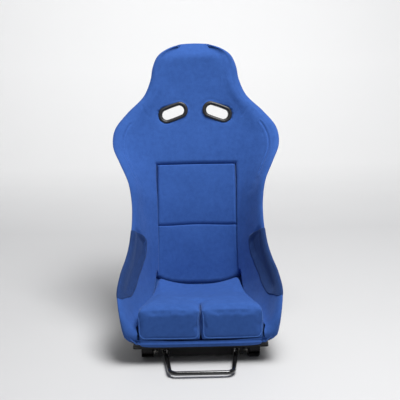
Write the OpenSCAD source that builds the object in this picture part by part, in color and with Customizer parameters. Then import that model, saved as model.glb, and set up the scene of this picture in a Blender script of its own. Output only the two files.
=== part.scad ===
// Fixed-back racing bucket seat on sliding rails with a front towel bar.
// Frame: +Z up, the seat faces -Y, origin at the centre of the four floor bolts on the floor plane.
// All sizes in millimetres.

/* [Seat shell] */
// Thickness of the moulded glass-fibre shell
shell_t = 4.5; // [3:0.5:6]
// Gap between the shell and the back of each foam pad
pad_gap = 8.4; // [7.5:0.1:10]
// Half width of the flat back inserts, measured on the shell
insert_half = 144; // [138:1:150]

/* [Seat cushion] */
// Height of the cushion's top at its front edge
cushion_front_z = 190; // [175:1:198]
// Height of the cushion's top where it meets the back
cushion_rear_z = 153; // [140:1:165]
// Depth of the split that parts the two thigh lobes
split_depth = 96; // [40:1:120]

/* [Harness slots] */
// Distance of each harness slot from the centre line
slot_x = 78; // [70:1:90]
// Height of the harness slots above the floor
slot_z = 729.5; // [725:0.5:735]
// Length of the opening for the shoulder strap
slot_len = 80; // [74:1:84]
// Height of the opening for the shoulder strap
slot_h = 36; // [30:1:38]
// Tilt of each slot, inner end up
slot_tilt = 20; // [0:1:25]

/* [Rails] */
// Distance of each rail's middle from the centre line
rail_x = 172; // [165:1:180]
// Length of the fixed lower rails
rail_len = 360; // [340:1:380]
// Front to rear distance of the floor bolts
floor_bolt_y = 300; // [280:1:310]
// Radius of the floor bolt holes
floor_hole_r = 4.25; // [4.1:0.05:4.5]
// Radius of the bearing balls
ball_r = 1.97; // [1.9:0.01:1.98]

/* [Adapter bars] */
// Width of the adapter bars
adapter_w = 436; // [420:1:440]
// Front to rear size of the adapter bars
adapter_d = 50; // [40:1:56]
// Distance of each shell bolt from the centre line
shell_bolt_x = 120; // [110:1:125]

/* [Towel bar] */
// Radius of the towel bar's tube
bar_r = 7; // [6:0.25:7.5]
// How far forward of the origin the grip of the bar lies
bar_front = 335; // [320:1:345]
// Half width of the grip, at the tube's middle
bar_half = 100; // [92:1:104]

/* [Hidden] */

// colours
fabric_blue = [0.16, 0.29, 0.62];
suede_blue = [0.11, 0.20, 0.48];
shell_black = [0.05, 0.05, 0.06];
steel_black = [0.08, 0.08, 0.09];
plastic_black = [0.10, 0.10, 0.11];
zinc = [0.70, 0.70, 0.72];
foam_grey = [0.35, 0.36, 0.38];

// ---- the seat's form ------------------------------------------------------------------
// Each row is one cross section, from the front lip up to the top of the head rest:
// centre line y and z, rim y and z, half width at the rim, squareness,
// wrap angle, padding in the middle, padding on the side
ROWS = [
  [-243,  74, -240,  80, 212, 4.2, 84, 12, 16],
  [-235,  65, -244, 112, 236, 4.4, 86, 14, 40],
  [-206,  54, -230, 168, 253, 4.4, 87, 14, 54],
  [-140,  50, -180, 222, 262, 4.2, 88, 14, 56],
  [ -60,  50, -112, 262, 254, 4.0, 88, 14, 54],
  [  25,  51,  -50, 292, 240, 3.8, 88, 14, 52],
  [ 100,  68,   -4, 322, 230, 3.6, 86, 16, 50],
  [ 146, 124,   28, 358, 224, 3.4, 84, 28, 48],
  [ 170, 200,   54, 404, 220, 3.4, 84, 34, 46],
  [ 192, 290,   80, 460, 221, 3.4, 84, 36, 44],
  [ 218, 390,  104, 522, 232, 3.2, 80, 36, 42],
  [ 246, 490,  134, 582, 260, 3.0, 74, 36, 40],
  [ 272, 575,  170, 632, 283, 2.6, 70, 36, 36],
  [ 294, 650,  210, 684, 277, 2.5, 66, 34, 34],
  [ 310, 715,  252, 732, 236, 2.5, 62, 32, 32],
  [ 322, 775,  278, 784, 180, 2.5, 66, 32, 30],
  [ 331, 835,  292, 838, 154, 2.6, 70, 32, 30],
  [ 337, 885,  300, 886, 144, 2.7, 72, 32, 30],
  [ 340, 925,  306, 924, 126, 2.8, 70, 32, 26],
  [ 340, 950,  312, 947,  93, 3.0, 66, 26, 18],
  [ 338, 962,  318, 959,  56, 3.0, 60, 14,  8]];
TOP = len(ROWS) - 1;
// where the padding thickens from the middle to the side, and where it rounds off at the rim
THICKEN_FROM = 0.35;
THICKEN_TO = 0.75;
ROUND_FROM = 0.72;
ANGLE_STEP = 0.06;

function clamp(v, low, high) = min(max(v, low), high);
function smooth(v) = v * v * (3 - 2 * v);

// A row at any height along the seat, by a Catmull-Rom curve through ROWS
function row(u) =
  let (v = clamp(u, 0, TOP), i = min(floor(v), TOP - 1), t = v - i,
       a = ROWS[max(i - 1, 0)], b = ROWS[i], c = ROWS[i + 1], d = ROWS[min(i + 2, TOP)])
  0.5 * (2 * b + (c - a) * t + (2 * a - 5 * b + 4 * c - d) * t * t
         + (3 * b - a - 3 * c + d) * t * t * t);

// Across and inward position of the shell's outer face in a section, as a superellipse
function across(r, angle) = r[4] * pow(sin(angle), 2 / r[5]) / pow(sin(r[6]), 2 / r[5]);
function inward(r, depth, angle) =
  depth * (1 - pow(cos(angle), 2 / r[5])) / (1 - pow(cos(r[6]), 2 / r[5]));

// Thickness of the padding at a place s across a row
function padding(r, s) =
  let (k = smooth(clamp((abs(s) - THICKEN_FROM) / (THICKEN_TO - THICKEN_FROM), 0, 1)),
       q = clamp((abs(s) - ROUND_FROM) / (1 - ROUND_FROM), 0, 1))
  (r[7] + (r[8] - r[7]) * k) * sqrt(1 - q * q);

// A point of the seat: u along the rows, s across from -1 to 1, and the distance inward from
// the shell's outer face, as a share of the padding plus a plain offset
function seat_point(u, s, share, offset) =
  let (r = row(u), rise = [r[2] - r[0], r[3] - r[1]], depth = norm(rise), dir = rise / depth,
       angle = pow(abs(s), r[5] / 2) * r[6],
       a1 = min(angle + ANGLE_STEP, r[6]), a0 = max(angle - ANGLE_STEP, 0),
       dx = across(r, a1) - across(r, a0), dw = inward(r, depth, a1) - inward(r, depth, a0),
       slope = norm([dx, dw]),
       thick = share * padding(r, s) + offset,
       x = across(r, angle) - thick * dw / slope,
       w = inward(r, depth, angle) + thick * dx / slope)
  [(s < 0 ? -x : x), r[0] + dir[0] * w, r[1] + dir[1] * w];

// The top face of a pad, never thinner than the given height above its back
function pad_top(u, s, least) =
  let (thick = padding(row(u), s))
  thick > least ? seat_point(u, s, 1, 0) : seat_point(u, s, 0, least);

// The place across a row where the face at that padding share and offset reaches x
function place_across(u, x, share, offset, low = 0, high = 0.97, steps = 14) =
  steps == 0 ? (low + high) / 2 :
  let (middle = (low + high) / 2)
  seat_point(u, middle, share, offset)[0] < x
    ? place_across(u, x, share, offset, middle, high, steps - 1)
    : place_across(u, x, share, offset, low, middle, steps - 1);

function spread(from, to, parts) = [for (i = [0 : parts]) from + (to - from) * i / parts];

// A closed solid between two grids of points with the same rows and columns
module grid_solid(back, front) {
  rows = len(back);
  cols = len(back[0]);
  count = rows * cols;
  points = [for (g = [back, front]) for (line = g) for (p = line) p];
  faces = [
    for (i = [0 : rows - 2]) for (j = [0 : cols - 2])
      let (a = i * cols + j, b = a + 1, c = a + cols + 1, d = a + cols)
        each [[a, b, c], [a, c, d], [count + a, count + c, count + b], [count + a, count + d, count + c]],
    for (i = [0 : rows - 2])
      let (a = i * cols, d = a + cols, e = a + cols - 1, h = e + cols)
        each [[a, d, count + d], [a, count + d, count + a], [e, count + h, h], [e, count + e, count + h]],
    for (j = [0 : cols - 2])
      let (a = j, b = j + 1, e = count - cols + j, f = e + 1)
        each [[a, count + b, b], [a, count + a, count + b], [e, f, count + f], [e, count + f, count + e]]];
  polyhedron(points, faces, convexity = 8);
}

// A tube along points, closed at both ends; sides is the number of its flat sides
module swept_tube(route, radius, sides) {
  count = len(route);
  rings = [for (i = [0 : count - 1])
    let (t = route[min(i + 1, count - 1)] - route[max(i - 1, 0)], along = t / norm(t),
         up = abs(along[2]) > 0.9 ? [1, 0, 0] : [0, 0, 1],
         s1 = cross(along, up), side = s1 / norm(s1), lift = cross(side, along))
      [for (k = [0 : sides - 1])
        route[i] + radius * (side * cos(360 * k / sides) + lift * sin(360 * k / sides))]];
  faces = [
    [for (k = [0 : sides - 1]) k],
    [for (k = [0 : sides - 1]) (count - 1) * sides + sides - 1 - k],
    for (i = [0 : count - 2]) for (k = [0 : sides - 1])
      let (a = i * sides + k, b = i * sides + (k + 1) % sides)
        each [[a, a + sides, b + sides], [a, b + sides, b]]];
  polyhedron([for (ring = rings) for (p = ring) p], faces, convexity = 10);
}

module mirrored() {
  children();
  mirror([1, 0, 0]) children();
}

// side is -1 on the left and 1 on the right
module on_side(side) {
  if (side < 0) mirror([1, 0, 0]) children();
  else children();
}

// ---- shell ----------------------------------------------------------------------------
SLOT_Y = 277.7;
BACK_LEAN = 11;
SLEEVE_WALL = 2.5;
FLANGE_LEN = 108;
FLANGE_H = 60;
SLEEVE_BACK = -41;
SCREW_AT = [[-30, 24.5], [30, 24.5], [-30, -24.5], [30, -24.5]];

// Puts its children in the frame of a harness slot: z out of the back's front face
module at_slot(side) {
  translate([side * slot_x, SLOT_Y, slot_z]) rotate([90 - BACK_LEAN, 0, 0])
    rotate([0, 0, -side * slot_tilt]) children();
}

// A prism with round ends
module round_slot(length, height, z0, z1) {
  translate([0, 0, z0]) linear_extrude(z1 - z0) {
    square([length - height, height], center = true);
    for (end = [-1, 1]) translate([end * (length - height) / 2, 0]) circle(d = height, $fn = 32);
  }
}

FRONT_BOLT_Y = -176;
REAR_BOLT_Y = 55;
SHELL_BOLTS = [for (x = [-shell_bolt_x, shell_bolt_x]) for (y = [FRONT_BOLT_Y, REAR_BOLT_Y]) [x, y]];

module seat_shell() {
  us = concat(spread(TOP, 12.5, 18), spread(12, 0, 26));
  ss = spread(1, -1, 30);
  color(shell_black) difference() {
    grid_solid([for (u = us) [for (s = ss) seat_point(u, s, 0, 0)]],
               [for (u = us) [for (s = ss) seat_point(u, s, 0, shell_t)]]);
    for (side = [-1, 1]) at_slot(side) {
      round_slot(slot_len + 7, slot_h + 7, -60, 20);
      for (p = SCREW_AT) translate([p[0], p[1], -50]) cylinder(r = 2.1, h = 35, $fn = 16);
    }
    for (b = SHELL_BOLTS) translate([b[0], b[1], 40]) cylinder(r = 4.5, h = 70, $fn = 24);
  }
}

// U-shaped section of the edge trim: outward past the rim, then inward through the shell
TRIM_FORM = [[-6.5, -2.2], [0.5, -2.2], [2.5, 0], [2.5, 4.7], [0.5, 6.9], [-6.5, 6.9],
             [-6.5, 5.6], [0.5, 5.6], [0.5, -0.9], [-6.5, -0.9]];
TRIM_INSET = 0.012;
RIM_STEP = 0.15;

// The rim as a closed loop of [u, s]: up the right side, over the head, down the left, along the lip
function rim_loop() = concat(
  [for (u = concat([0.12, 0.3], spread(0.5, TOP - 1.5, 40), [TOP - 1, TOP - 0.6, TOP - 0.25])) [u, 1]],
  [for (s = spread(0.94, -0.94, 9)) [TOP, s]],
  [for (u = concat([TOP - 0.25, TOP - 0.6, TOP - 1], spread(TOP - 1.5, 0.5, 40), [0.3, 0.12])) [u, -1]],
  [for (s = spread(-0.97, 0.97, 21)) [0, s]]);

// The trim's section at place i of the rim loop
function trim_ring(loop, i) =
  let (n = len(loop), here = loop[i], u = here[0], s = here[1],
       p = seat_point(u, s, 0, 0),
       next = loop[(i + 1) % n], last = loop[(i + n - 1) % n],
       t0 = seat_point(next[0], next[1], 0, 0) - seat_point(last[0], last[1], 0, 0), t = t0 / norm(t0),
       inner = seat_point(clamp(u, RIM_STEP, TOP - RIM_STEP), s * (1 - TRIM_INSET), 0, 0),
       e0 = p - inner, e1 = e0 - t * (e0 * t), out = e1 / norm(e1),
       into = cross(out, t))
    [for (q = TRIM_FORM) p + out * q[0] + into * q[1]];

module shell_edge_trim() {
  loop = rim_loop();
  n = len(loop);
  m = len(TRIM_FORM);
  rings = [for (i = [0 : n - 1]) trim_ring(loop, i)];
  faces = [for (i = [0 : n - 1]) for (k = [0 : m - 1])
    let (a = i * m + k, b = i * m + (k + 1) % m, c = ((i + 1) % n) * m + k, d = ((i + 1) % n) * m + (k + 1) % m)
      each [[a, d, c], [a, b, d]]];
  color(fabric_blue) polyhedron([for (ring = rings) for (p = ring) p], faces, convexity = 12);
}

ADAPTER_Z = 41;
ADAPTER_T = 5;
ADAPTER_TOP = ADAPTER_Z + ADAPTER_T;

// Each boss is laminated through the shell and gives the nut plate a flat seat
FRONT_PLATE_Z = 59.6;
REAR_PLATE_Z = 75;
function plate_z(bolt) = bolt[1] < 0 ? FRONT_PLATE_Z : REAR_PLATE_Z;
module shell_mount_bosses() {
  color(shell_black) for (b = SHELL_BOLTS) translate([b[0], b[1], ADAPTER_TOP]) difference() {
    cylinder(r = 20, h = plate_z(b) - ADAPTER_TOP, $fn = 48);
    translate([0, 0, -1]) cylinder(r = 4.5, h = 40, $fn = 24);
  }
}

module captive_nut_plates() {
  color(zinc) for (b = SHELL_BOLTS) translate([b[0], b[1], plate_z(b)]) difference() {
    union() {
      translate([-13, -13, 0]) cube([26, 26, 1.6]);
      cylinder(r = 7.5, h = 7, $fn = 6);
    }
    translate([0, 0, -1]) cylinder(r = 4.05, h = 12, $fn = 32);
  }
}

// ---- pads -----------------------------------------------------------------------------
// A pad between two rows, across from s0(u) to s1(u), with softened edges
EDGE_DROP = 7;
module pad(us, spans, cols, least) {
  last_u = len(us) - 1;
  grid_solid(
    [for (i = [0 : last_u]) [for (s = spread(spans[i][0], spans[i][1], cols)) seat_point(us[i], s, 0, pad_gap)]],
    [for (i = [0 : last_u]) [for (j = [0 : cols])
      let (s = spans[i][0] + (spans[i][1] - spans[i][0]) * j / cols,
           edge = i == 0 || i == last_u || j == 0 || j == cols,
           drop = edge ? EDGE_DROP : 0,
           thick = max(padding(row(us[i]), s) - drop, pad_gap + least))
        seat_point(us[i], s, 0, thick)]]);
}

INSERT_LOW = 7.1;
INSERT_SPLIT = 9.15;
INSERT_TOP = 11.45;
RIM_END = 0.965;
function insert_edge(u) =
  place_across(u, insert_half + 5.2 * max(11.4 - u, 0), 0, 0);

module back_insert(u0, u1, parts) {
  us = spread(u0, u1, parts);
  color(fabric_blue)
    pad(us, [for (u = us) let (e = insert_edge(u) - 0.004) [-e, e]], 10, 2);
}
module back_insert_upper() back_insert(INSERT_SPLIT + 0.02, INSERT_TOP, 8);
module back_insert_lower() back_insert(INSERT_LOW, INSERT_SPLIT - 0.02, 8);

module upper_back_pad() {
  us = spread(INSERT_TOP + 0.06, TOP - 1.6, 24);
  color(fabric_blue) difference() {
    pad(us, [for (u = us) let (e = RIM_END - 0.012 - 0.1 * smooth(clamp((u - 16.8) / 2, 0, 1))) [-e, e]], 22, 2);
    for (side = [-1, 1]) at_slot(side) {
      round_slot(slot_len + 7, slot_h + 7, -60, 20);
      round_slot(FLANGE_LEN + 1.2, FLANGE_H + 1.2, -1.3, 20);
    }
  }
}

// Half width of the seat cushion at each row
CUSHION_HALF = [[1, 197], [2, 196], [3, 182], [4, 168], [5, 154], [6, 144], [7, 138]];
function cushion_half(u) = lookup(u, CUSHION_HALF);
CUSHION_GAP = 4;
function bolster_start(u) =
  u < INSERT_LOW ? place_across(u, cushion_half(u) + CUSHION_GAP, 1, 0) : insert_edge(u) + 0.006;

module side_bolster(side) {
  us = concat(spread(1.55, 6.9, 16), spread(7.2, INSERT_TOP, 11));
  color(fabric_blue) on_side(side)
    pad(us, [for (u = us) [bolster_start(u), RIM_END]], 9, 2);
}
module side_bolster_left() side_bolster(-1);
module side_bolster_right() side_bolster(1);

PATCH_T = 1.6;
PATCH_LIFT = 0.7;
module hip_patch(side) {
  us = spread(3.6, 7.9, 12);
  width = [for (i = [0 : 12]) 0.86 + 0.07 * pow(abs(i / 6 - 1), 3)];
  color(suede_blue) on_side(side)
    grid_solid([for (i = [0 : 12]) [for (s = spread(width[i], 0.965, 6)) seat_point(us[i], s, 1, PATCH_LIFT)]],
               [for (i = [0 : 12]) [for (s = spread(width[i], 0.965, 6)) seat_point(us[i], s, 1, PATCH_LIFT + PATCH_T)]]);
}
module hip_patch_left() hip_patch(-1);
module hip_patch_right() hip_patch(1);

LINER_TOP = 13;
module pan_liner() {
  us = spread(1.4, 6.6, 14);
  color(foam_grey) difference() {
    grid_solid(
      [for (u = us) let (e = place_across(u, cushion_half(u) - 4, 0, LINER_TOP)) [for (s = spread(-e, e, 10)) seat_point(u, s, 0, shell_t + 2.4)]],
      [for (u = us) let (e = place_across(u, cushion_half(u) - 4, 0, LINER_TOP)) [for (s = spread(-e, e, 10)) seat_point(u, s, 0, LINER_TOP)]]);
    for (b = SHELL_BOLTS) translate([b[0], b[1], 45]) cylinder(r = 22, h = 50, $fn = 32);
  }
}

// The cushion's top falls from its front edge to the back, and rounds down at its front and sides
CUSHION_FRONT_Y = -240;
CUSHION_REAR_Y = 120;
function cushion_top(y, share) =
  cushion_rear_z + (cushion_front_z - cushion_rear_z) * clamp((CUSHION_REAR_Y - y) / 330, 0, 1)
  - 10 * pow(abs(share), 6) - 30 * pow(clamp((-205 - y) / 32, 0, 1), 2);

module seat_cushion() {
  us = concat([1.1, 1.25, 1.45], spread(1.8, 6.85, 13));
  base = LINER_TOP + 2;
  lower = [for (u = us) let (e = place_across(u, cushion_half(u), 0, base))
    [for (s = spread(-e, e, 14)) seat_point(u, s, 0, base)]];
  upper = [for (line = lower) [for (j = [0 : 14])
    let (p = line[j]) [p[0], p[1], max(cushion_top(p[1], j / 7 - 1), p[2] + 6)]]];
  color(fabric_blue) difference() {
    grid_solid(lower, upper);
    translate([-1.5, CUSHION_FRONT_Y - 20, 92]) cube([3, split_depth + 20, 120]);
    for (b = SHELL_BOLTS) translate([b[0], b[1], 45]) cylinder(r = 21.5, h = plate_z(b) + 14 - 45, $fn = 32);
  }
}

STRIP_T = 1.0;
module hook_loop_strips() {
  color(plastic_black) for (u = [7.6, 8.6, 9.8, 10.9])
    grid_solid([for (v = [u - 0.12, u + 0.12]) [for (s = spread(-0.4, 0.4, 6)) seat_point(v, s, 0, shell_t + 0.6)]],
               [for (v = [u - 0.12, u + 0.12]) [for (s = spread(-0.4, 0.4, 6)) seat_point(v, s, 0, shell_t + 0.6 + STRIP_T)]]);
}

// ---- harness bezels -------------------------------------------------------------------
module harness_bezel_front(side) {
  color(plastic_black) at_slot(side) difference() {
    union() {
      round_slot(FLANGE_LEN, FLANGE_H, -1, 3);
      round_slot(FLANGE_LEN - 7, FLANGE_H - 7, 3, 5);
      round_slot(slot_len + 2 * SLEEVE_WALL, slot_h + 2 * SLEEVE_WALL, SLEEVE_BACK, 0);
    }
    round_slot(slot_len, slot_h, SLEEVE_BACK - 1, 7);
    round_slot(slot_len + 6, slot_h + 6, 2, 7);
  }
}
module harness_bezel_front_left() harness_bezel_front(-1);
module harness_bezel_front_right() harness_bezel_front(1);

module harness_bezel_rear(side) {
  color(plastic_black) at_slot(side) difference() {
    round_slot(FLANGE_LEN, FLANGE_H, SLEEVE_BACK, SLEEVE_BACK + 4);
    round_slot(slot_len + 2 * SLEEVE_WALL + 0.6, slot_h + 2 * SLEEVE_WALL + 0.6, SLEEVE_BACK - 1, SLEEVE_BACK + 6);
    for (p = SCREW_AT) translate([p[0], p[1], SLEEVE_BACK - 1]) cylinder(r = 2.1, h = 6, $fn = 24);
  }
}
module harness_bezel_rear_left() harness_bezel_rear(-1);
module harness_bezel_rear_right() harness_bezel_rear(1);

module bezel_screws() {
  color(steel_black) for (side = [-1, 1]) at_slot(side) for (p = SCREW_AT)
    translate([p[0], p[1], SLEEVE_BACK - 2]) {
      cylinder(r = 3.6, h = 2, $fn = 32);
      cylinder(r = 1.8, h = 15, $fn = 24);
    }
}

// ---- adapter bars and their fasteners -----------------------------------------------------
FRONT_ADAPTER_BOLT_Y = -160;
RAIL_BOLTS = [for (x = [-rail_x, rail_x]) for (y = [FRONT_ADAPTER_BOLT_Y, REAR_BOLT_Y]) [x, y]];
RAIL_BOLT_R = 3;
SHELL_BOLT_R = 4;

module adapter_plate(y) {
  translate([0, y, ADAPTER_Z]) linear_extrude(ADAPTER_T) {
    square([adapter_w - 16, adapter_d], center = true);
    square([adapter_w, adapter_d - 16], center = true);
    for (x = [-1, 1]) for (d = [-1, 1])
      translate([x * (adapter_w / 2 - 8), d * (adapter_d / 2 - 8)]) circle(r = 8, $fn = 32);
  }
}
module bolt_holes(list, r) {
  for (b = list) translate([b[0], b[1], ADAPTER_Z - 20]) cylinder(r = r, h = 40, $fn = 32);
}

APRON_HALF = 138;
APRON_LOW = 10;
APRON_Y = -187;
APRON_T = 4;
NOTCH_X = 115;
// The apron's outer stretches close the front in above the lower rails
WING_FROM = 158;
WING_TO = 192;
WING_LOW = 23;
module adapter_front() {
  color(steel_black) difference() {
    union() {
      adapter_plate(FRONT_BOLT_Y);
      translate([-APRON_HALF, APRON_Y, APRON_LOW]) cube([2 * APRON_HALF, APRON_T, ADAPTER_Z - APRON_LOW + 1]);
      for (x = [-WING_TO, WING_FROM])
        translate([x, APRON_Y, WING_LOW]) cube([WING_TO - WING_FROM, APRON_T, ADAPTER_Z - WING_LOW + 1]);
    }
    for (side = [-1, 1]) translate([side * NOTCH_X - 11.5, APRON_Y - 1, APRON_LOW - 1]) cube([23, APRON_T + 2, 23]);
    bolt_holes([for (b = SHELL_BOLTS) if (b[1] < 0) b], SHELL_BOLT_R + 0.3);
    bolt_holes([for (b = RAIL_BOLTS) if (b[1] < 0) b], RAIL_BOLT_R + 0.3);
  }
}
module adapter_rear() {
  color(steel_black) difference() {
    adapter_plate(REAR_BOLT_Y);
    bolt_holes([for (b = SHELL_BOLTS) if (b[1] > 0) b], SHELL_BOLT_R + 0.3);
    bolt_holes([for (b = RAIL_BOLTS) if (b[1] > 0) b], RAIL_BOLT_R + 0.3);
  }
}

// Each shell bolt comes up from below, with its washer, into a captive nut
module shell_bolts() {
  color(zinc) for (b = SHELL_BOLTS) translate([b[0], b[1], ADAPTER_Z]) {
    translate([0, 0, -1.6]) difference() {
      cylinder(r = 6.8, h = 1.6, $fn = 48);
      translate([0, 0, -1]) cylinder(r = SHELL_BOLT_R + 0.02, h = 4, $fn = 48);
    }
    translate([0, 0, -6.9]) cylinder(r = 6.9, h = 5.3, $fn = 6);
    translate([0, 0, -2]) cylinder(r = SHELL_BOLT_R, h = plate_z(b) + 8 - ADAPTER_Z + 2, $fn = 48);
  }
}
module adapter_bolts() {
  color(zinc) for (b = RAIL_BOLTS) translate([b[0], b[1], ADAPTER_TOP]) {
    cylinder(r = 5.6, h = 3.6, $fn = 6);
    translate([0, 0, -16]) cylinder(r = RAIL_BOLT_R, h = 17, $fn = 32);
  }
}
module adapter_nuts() {
  color(zinc) for (b = RAIL_BOLTS) translate([b[0], b[1], RAIL_TOP_Z - 5]) difference() {
    rotate([0, 0, 30]) cylinder(r = 5.6, h = 4.9, $fn = 6);
    translate([0, 0, -1]) cylinder(r = RAIL_BOLT_R + 0.03, h = 8, $fn = 32);
  }
}

// ---- rails ----------------------------------------------------------------------------
FOOT_T = 5;
RAIL_TOP_Z = 38;
UPPER_LEN = 330;
UPPER_FRONT = -172;

// Extrudes a profile drawn in x and z along y
module along_y(y0, y1) {
  translate([0, y1, 0]) rotate([90, 0, 0]) linear_extrude(y1 - y0) children();
}
// A profile drawn on its right half, completed by its mirror image
module whole_profile(half) {
  polygon(concat(half, [for (i = [len(half) - 1 : -1 : 0]) [-half[i][0], half[i][1]]]));
}

// Lower rail: base, walls and inward lips
LOWER_HALF = [[20, FOOT_T], [20, 21], [11, 21], [11, 18.5], [17.5, 18.5], [17.5, 8]];
module lower_rail(side) {
  color(steel_black) translate([side * rail_x, 0, 0]) difference() {
    along_y(-rail_len / 2, rail_len / 2) whole_profile(LOWER_HALF);
    for (y = [-1, 1]) translate([0, y * floor_bolt_y / 2, FOOT_T - 1]) cylinder(r = floor_hole_r, h = 5, $fn = 48);
  }
}
module lower_rail_left() lower_rail(-1);
module lower_rail_right() lower_rail(1);

// Upper rail: flanges under the lips, two webs and a top plate, closed by a tab at each end
UPPER_HALF = [[5.5, RAIL_TOP_Z], [5.5, 12], [15, 12], [15, 14.5], [8, 14.5], [8, RAIL_TOP_Z],
              [15, RAIL_TOP_Z], [15, ADAPTER_Z]];
module upper_rail(side) {
  color(steel_black) translate([side * rail_x, 0, 0]) difference() {
    union() {
      along_y(UPPER_FRONT, UPPER_FRONT + UPPER_LEN) whole_profile(UPPER_HALF);
      for (y = [UPPER_FRONT, UPPER_FRONT + UPPER_LEN - 3]) translate([-5.6, y, 12]) cube([11.2, 3, 18]);
    }
    for (y = [FRONT_ADAPTER_BOLT_Y, REAR_BOLT_Y]) translate([0, y, 30]) cylinder(r = RAIL_BOLT_R + 0.3, h = 15, $fn = 32);
  }
}
module upper_rail_left() upper_rail(-1);
module upper_rail_right() upper_rail(1);

// Lock strip: an inboard flange with a row of slots for the latch teeth
TOOTH_PITCH = 12;
TOOTH_Y = -100;
SLOTS_FRONT = -5;
SLOTS_REAR = 12;
module lock_strip(side) {
  color(zinc) on_side(side) difference() {
    union() {
      translate([139.5, TOOTH_Y + (SLOTS_FRONT - 1) * TOOTH_PITCH, 18.5])
        cube([12.4, (SLOTS_REAR - SLOTS_FRONT + 2) * TOOTH_PITCH, 2.5]);
      translate([149.4, TOOTH_Y + (SLOTS_FRONT - 1) * TOOTH_PITCH, 11])
        cube([2.5, (SLOTS_REAR - SLOTS_FRONT + 2) * TOOTH_PITCH, 8]);
    }
    for (k = [SLOTS_FRONT : SLOTS_REAR])
      translate([141.5, TOOTH_Y + k * TOOTH_PITCH - 3.5, 17]) cube([6.5, 7, 6]);
    for (y = RIVET_Y) translate([148, y, 14.5]) rotate([0, 90, 0]) cylinder(r = 2, h = 6, $fn = 24);
  }
}
module lock_strip_left() lock_strip(-1);
module lock_strip_right() lock_strip(1);

RIVET_Y = [-130, 0, 30];
module strip_rivets() {
  color(zinc) mirrored() for (y = RIVET_Y) translate([0, y, 14.5]) rotate([0, 90, 0]) {
    translate([0, 0, 148.4]) cylinder(r = 3, h = 1, $fn = 32);
    translate([0, 0, 149]) cylinder(r = 1.98, h = 2.95, $fn = 24);
  }
}

// A foot under a rail's end: a pressed plate with sloping sides
module foot_body(side, y, front, rear) {
  translate([side * rail_x, y, 0]) difference() {
    along_y(-front, rear) polygon([[-14, 0], [12, 0], [19, FOOT_T], [-21, FOOT_T]]);
    translate([0, 0, -1]) cylinder(r = floor_hole_r, h = 8, $fn = 48);
  }
}
FOOT_BACK = 20;
module floor_feet() {
  color(steel_black) {
    foot_body(-1, -floor_bolt_y / 2, 16, FOOT_BACK);
    for (side = [-1, 1]) foot_body(side, floor_bolt_y / 2, FOOT_BACK, FOOT_BACK);
  }
}
module floor_foot_front_right() {
  color(steel_black) foot_body(1, -floor_bolt_y / 2, 34, FOOT_BACK);
}

// Screws that stand up inside the upper rail and meet its end tabs at the limits of travel
SLIDE_FORWARD = 100;
SLIDE_BACK = 80;
STOP_R = 4;
STOP_CLEAR = 0.5;
STOP_REAR_Y = UPPER_FRONT + UPPER_LEN - 3 - SLIDE_FORWARD - STOP_R - STOP_CLEAR;
STOP_FRONT_Y = UPPER_FRONT + 3 + SLIDE_BACK + STOP_R + STOP_CLEAR;
module travel_stops() {
  color(zinc) mirrored() for (y = [STOP_FRONT_Y, STOP_REAR_Y])
    translate([rail_x, y, 8]) cylinder(r = STOP_R, h = 12, $fn = 32);
}

// ---- bearings -------------------------------------------------------------------------
BALL_X = 14;
BALL_LOW_Z = 10;
BALL_HIGH_Z = 16.5;
BALL_Y = [for (k = [-2 : 2]) k * 30 - 10];
CAGE_FRONT = -85;
CAGE_REAR = 65;
module ball_cage(side) {
  color(plastic_black) translate([side * rail_x, 0, 0]) for (flank = [0, 1]) mirror([flank, 0, 0]) difference() {
    along_y(CAGE_FRONT, CAGE_REAR)
      polygon([[17.1, 9.4], [17.1, 17.1], [11.5, 17.1], [11.5, 15.9], [16.1, 15.9], [16.1, 10.6], [11.5, 10.6], [11.5, 9.4]]);
    for (y = BALL_Y) translate([BALL_X, y, 8]) cylinder(r = ball_r + 0.06, h = 12, $fn = 32);
  }
}
module ball_cage_left() ball_cage(-1);
module ball_cage_right() ball_cage(1);

module bearing_balls(side) {
  color(zinc) translate([side * rail_x, 0, 0]) for (flank = [-1, 1]) for (y = BALL_Y) for (z = [BALL_LOW_Z, BALL_HIGH_Z])
    translate([flank * BALL_X, y, z]) sphere(r = ball_r, $fn = 24);
}
module bearing_balls_left() bearing_balls(-1);
module bearing_balls_right() bearing_balls(1);

// ---- release ---------------------------------------------------------------------------
PIVOT_Y = -152;
PIVOT_Z = 32;
PIN_R = 4;
BAR_END_Z = 19.5;
BAR_DROP = 1.1;
CORNER_R = 24;
LEVER_X = 124;
LEVER_T = 4;

// Points on an arc in the bar's plane
function arc(centre, radius, from, to, parts) =
  [for (a = spread(from, to, parts)) [centre[0] + radius * cos(a), centre[1] + radius * sin(a), 0]];

// The bar lies in a plane that drops towards the grip; the plane's y starts at the levers.
// Each leg runs at a tangent from the corner bend at the grip to a slight bend at its lever.
EASE_R = 60;
BAR_END_LEN = 30;
module towel_bar() {
  grip_y = -(bar_front + PIVOT_Y - 2);
  corner = [bar_half - CORNER_R, grip_y + CORNER_R];
  ease = [LEVER_X - bar_r - EASE_R, 0];
  apart = ease - corner;
  leg_angle = acos((CORNER_R - EASE_R) / norm(apart)) - atan2(apart[1], apart[0]);
  right = concat(arc(corner, CORNER_R, -90, -leg_angle, 10), arc(ease, EASE_R, -leg_angle, 0, 4),
                 [[LEVER_X - bar_r, BAR_END_LEN, 0]]);
  left = [for (i = [len(right) - 1 : -1 : 0]) [-right[i][0], right[i][1], 0]];
  color(steel_black) translate([0, PIVOT_Y - 2, BAR_END_Z]) rotate([BAR_DROP, 0, 0])
    swept_tube(concat(left, right), bar_r, 20);
}

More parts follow.
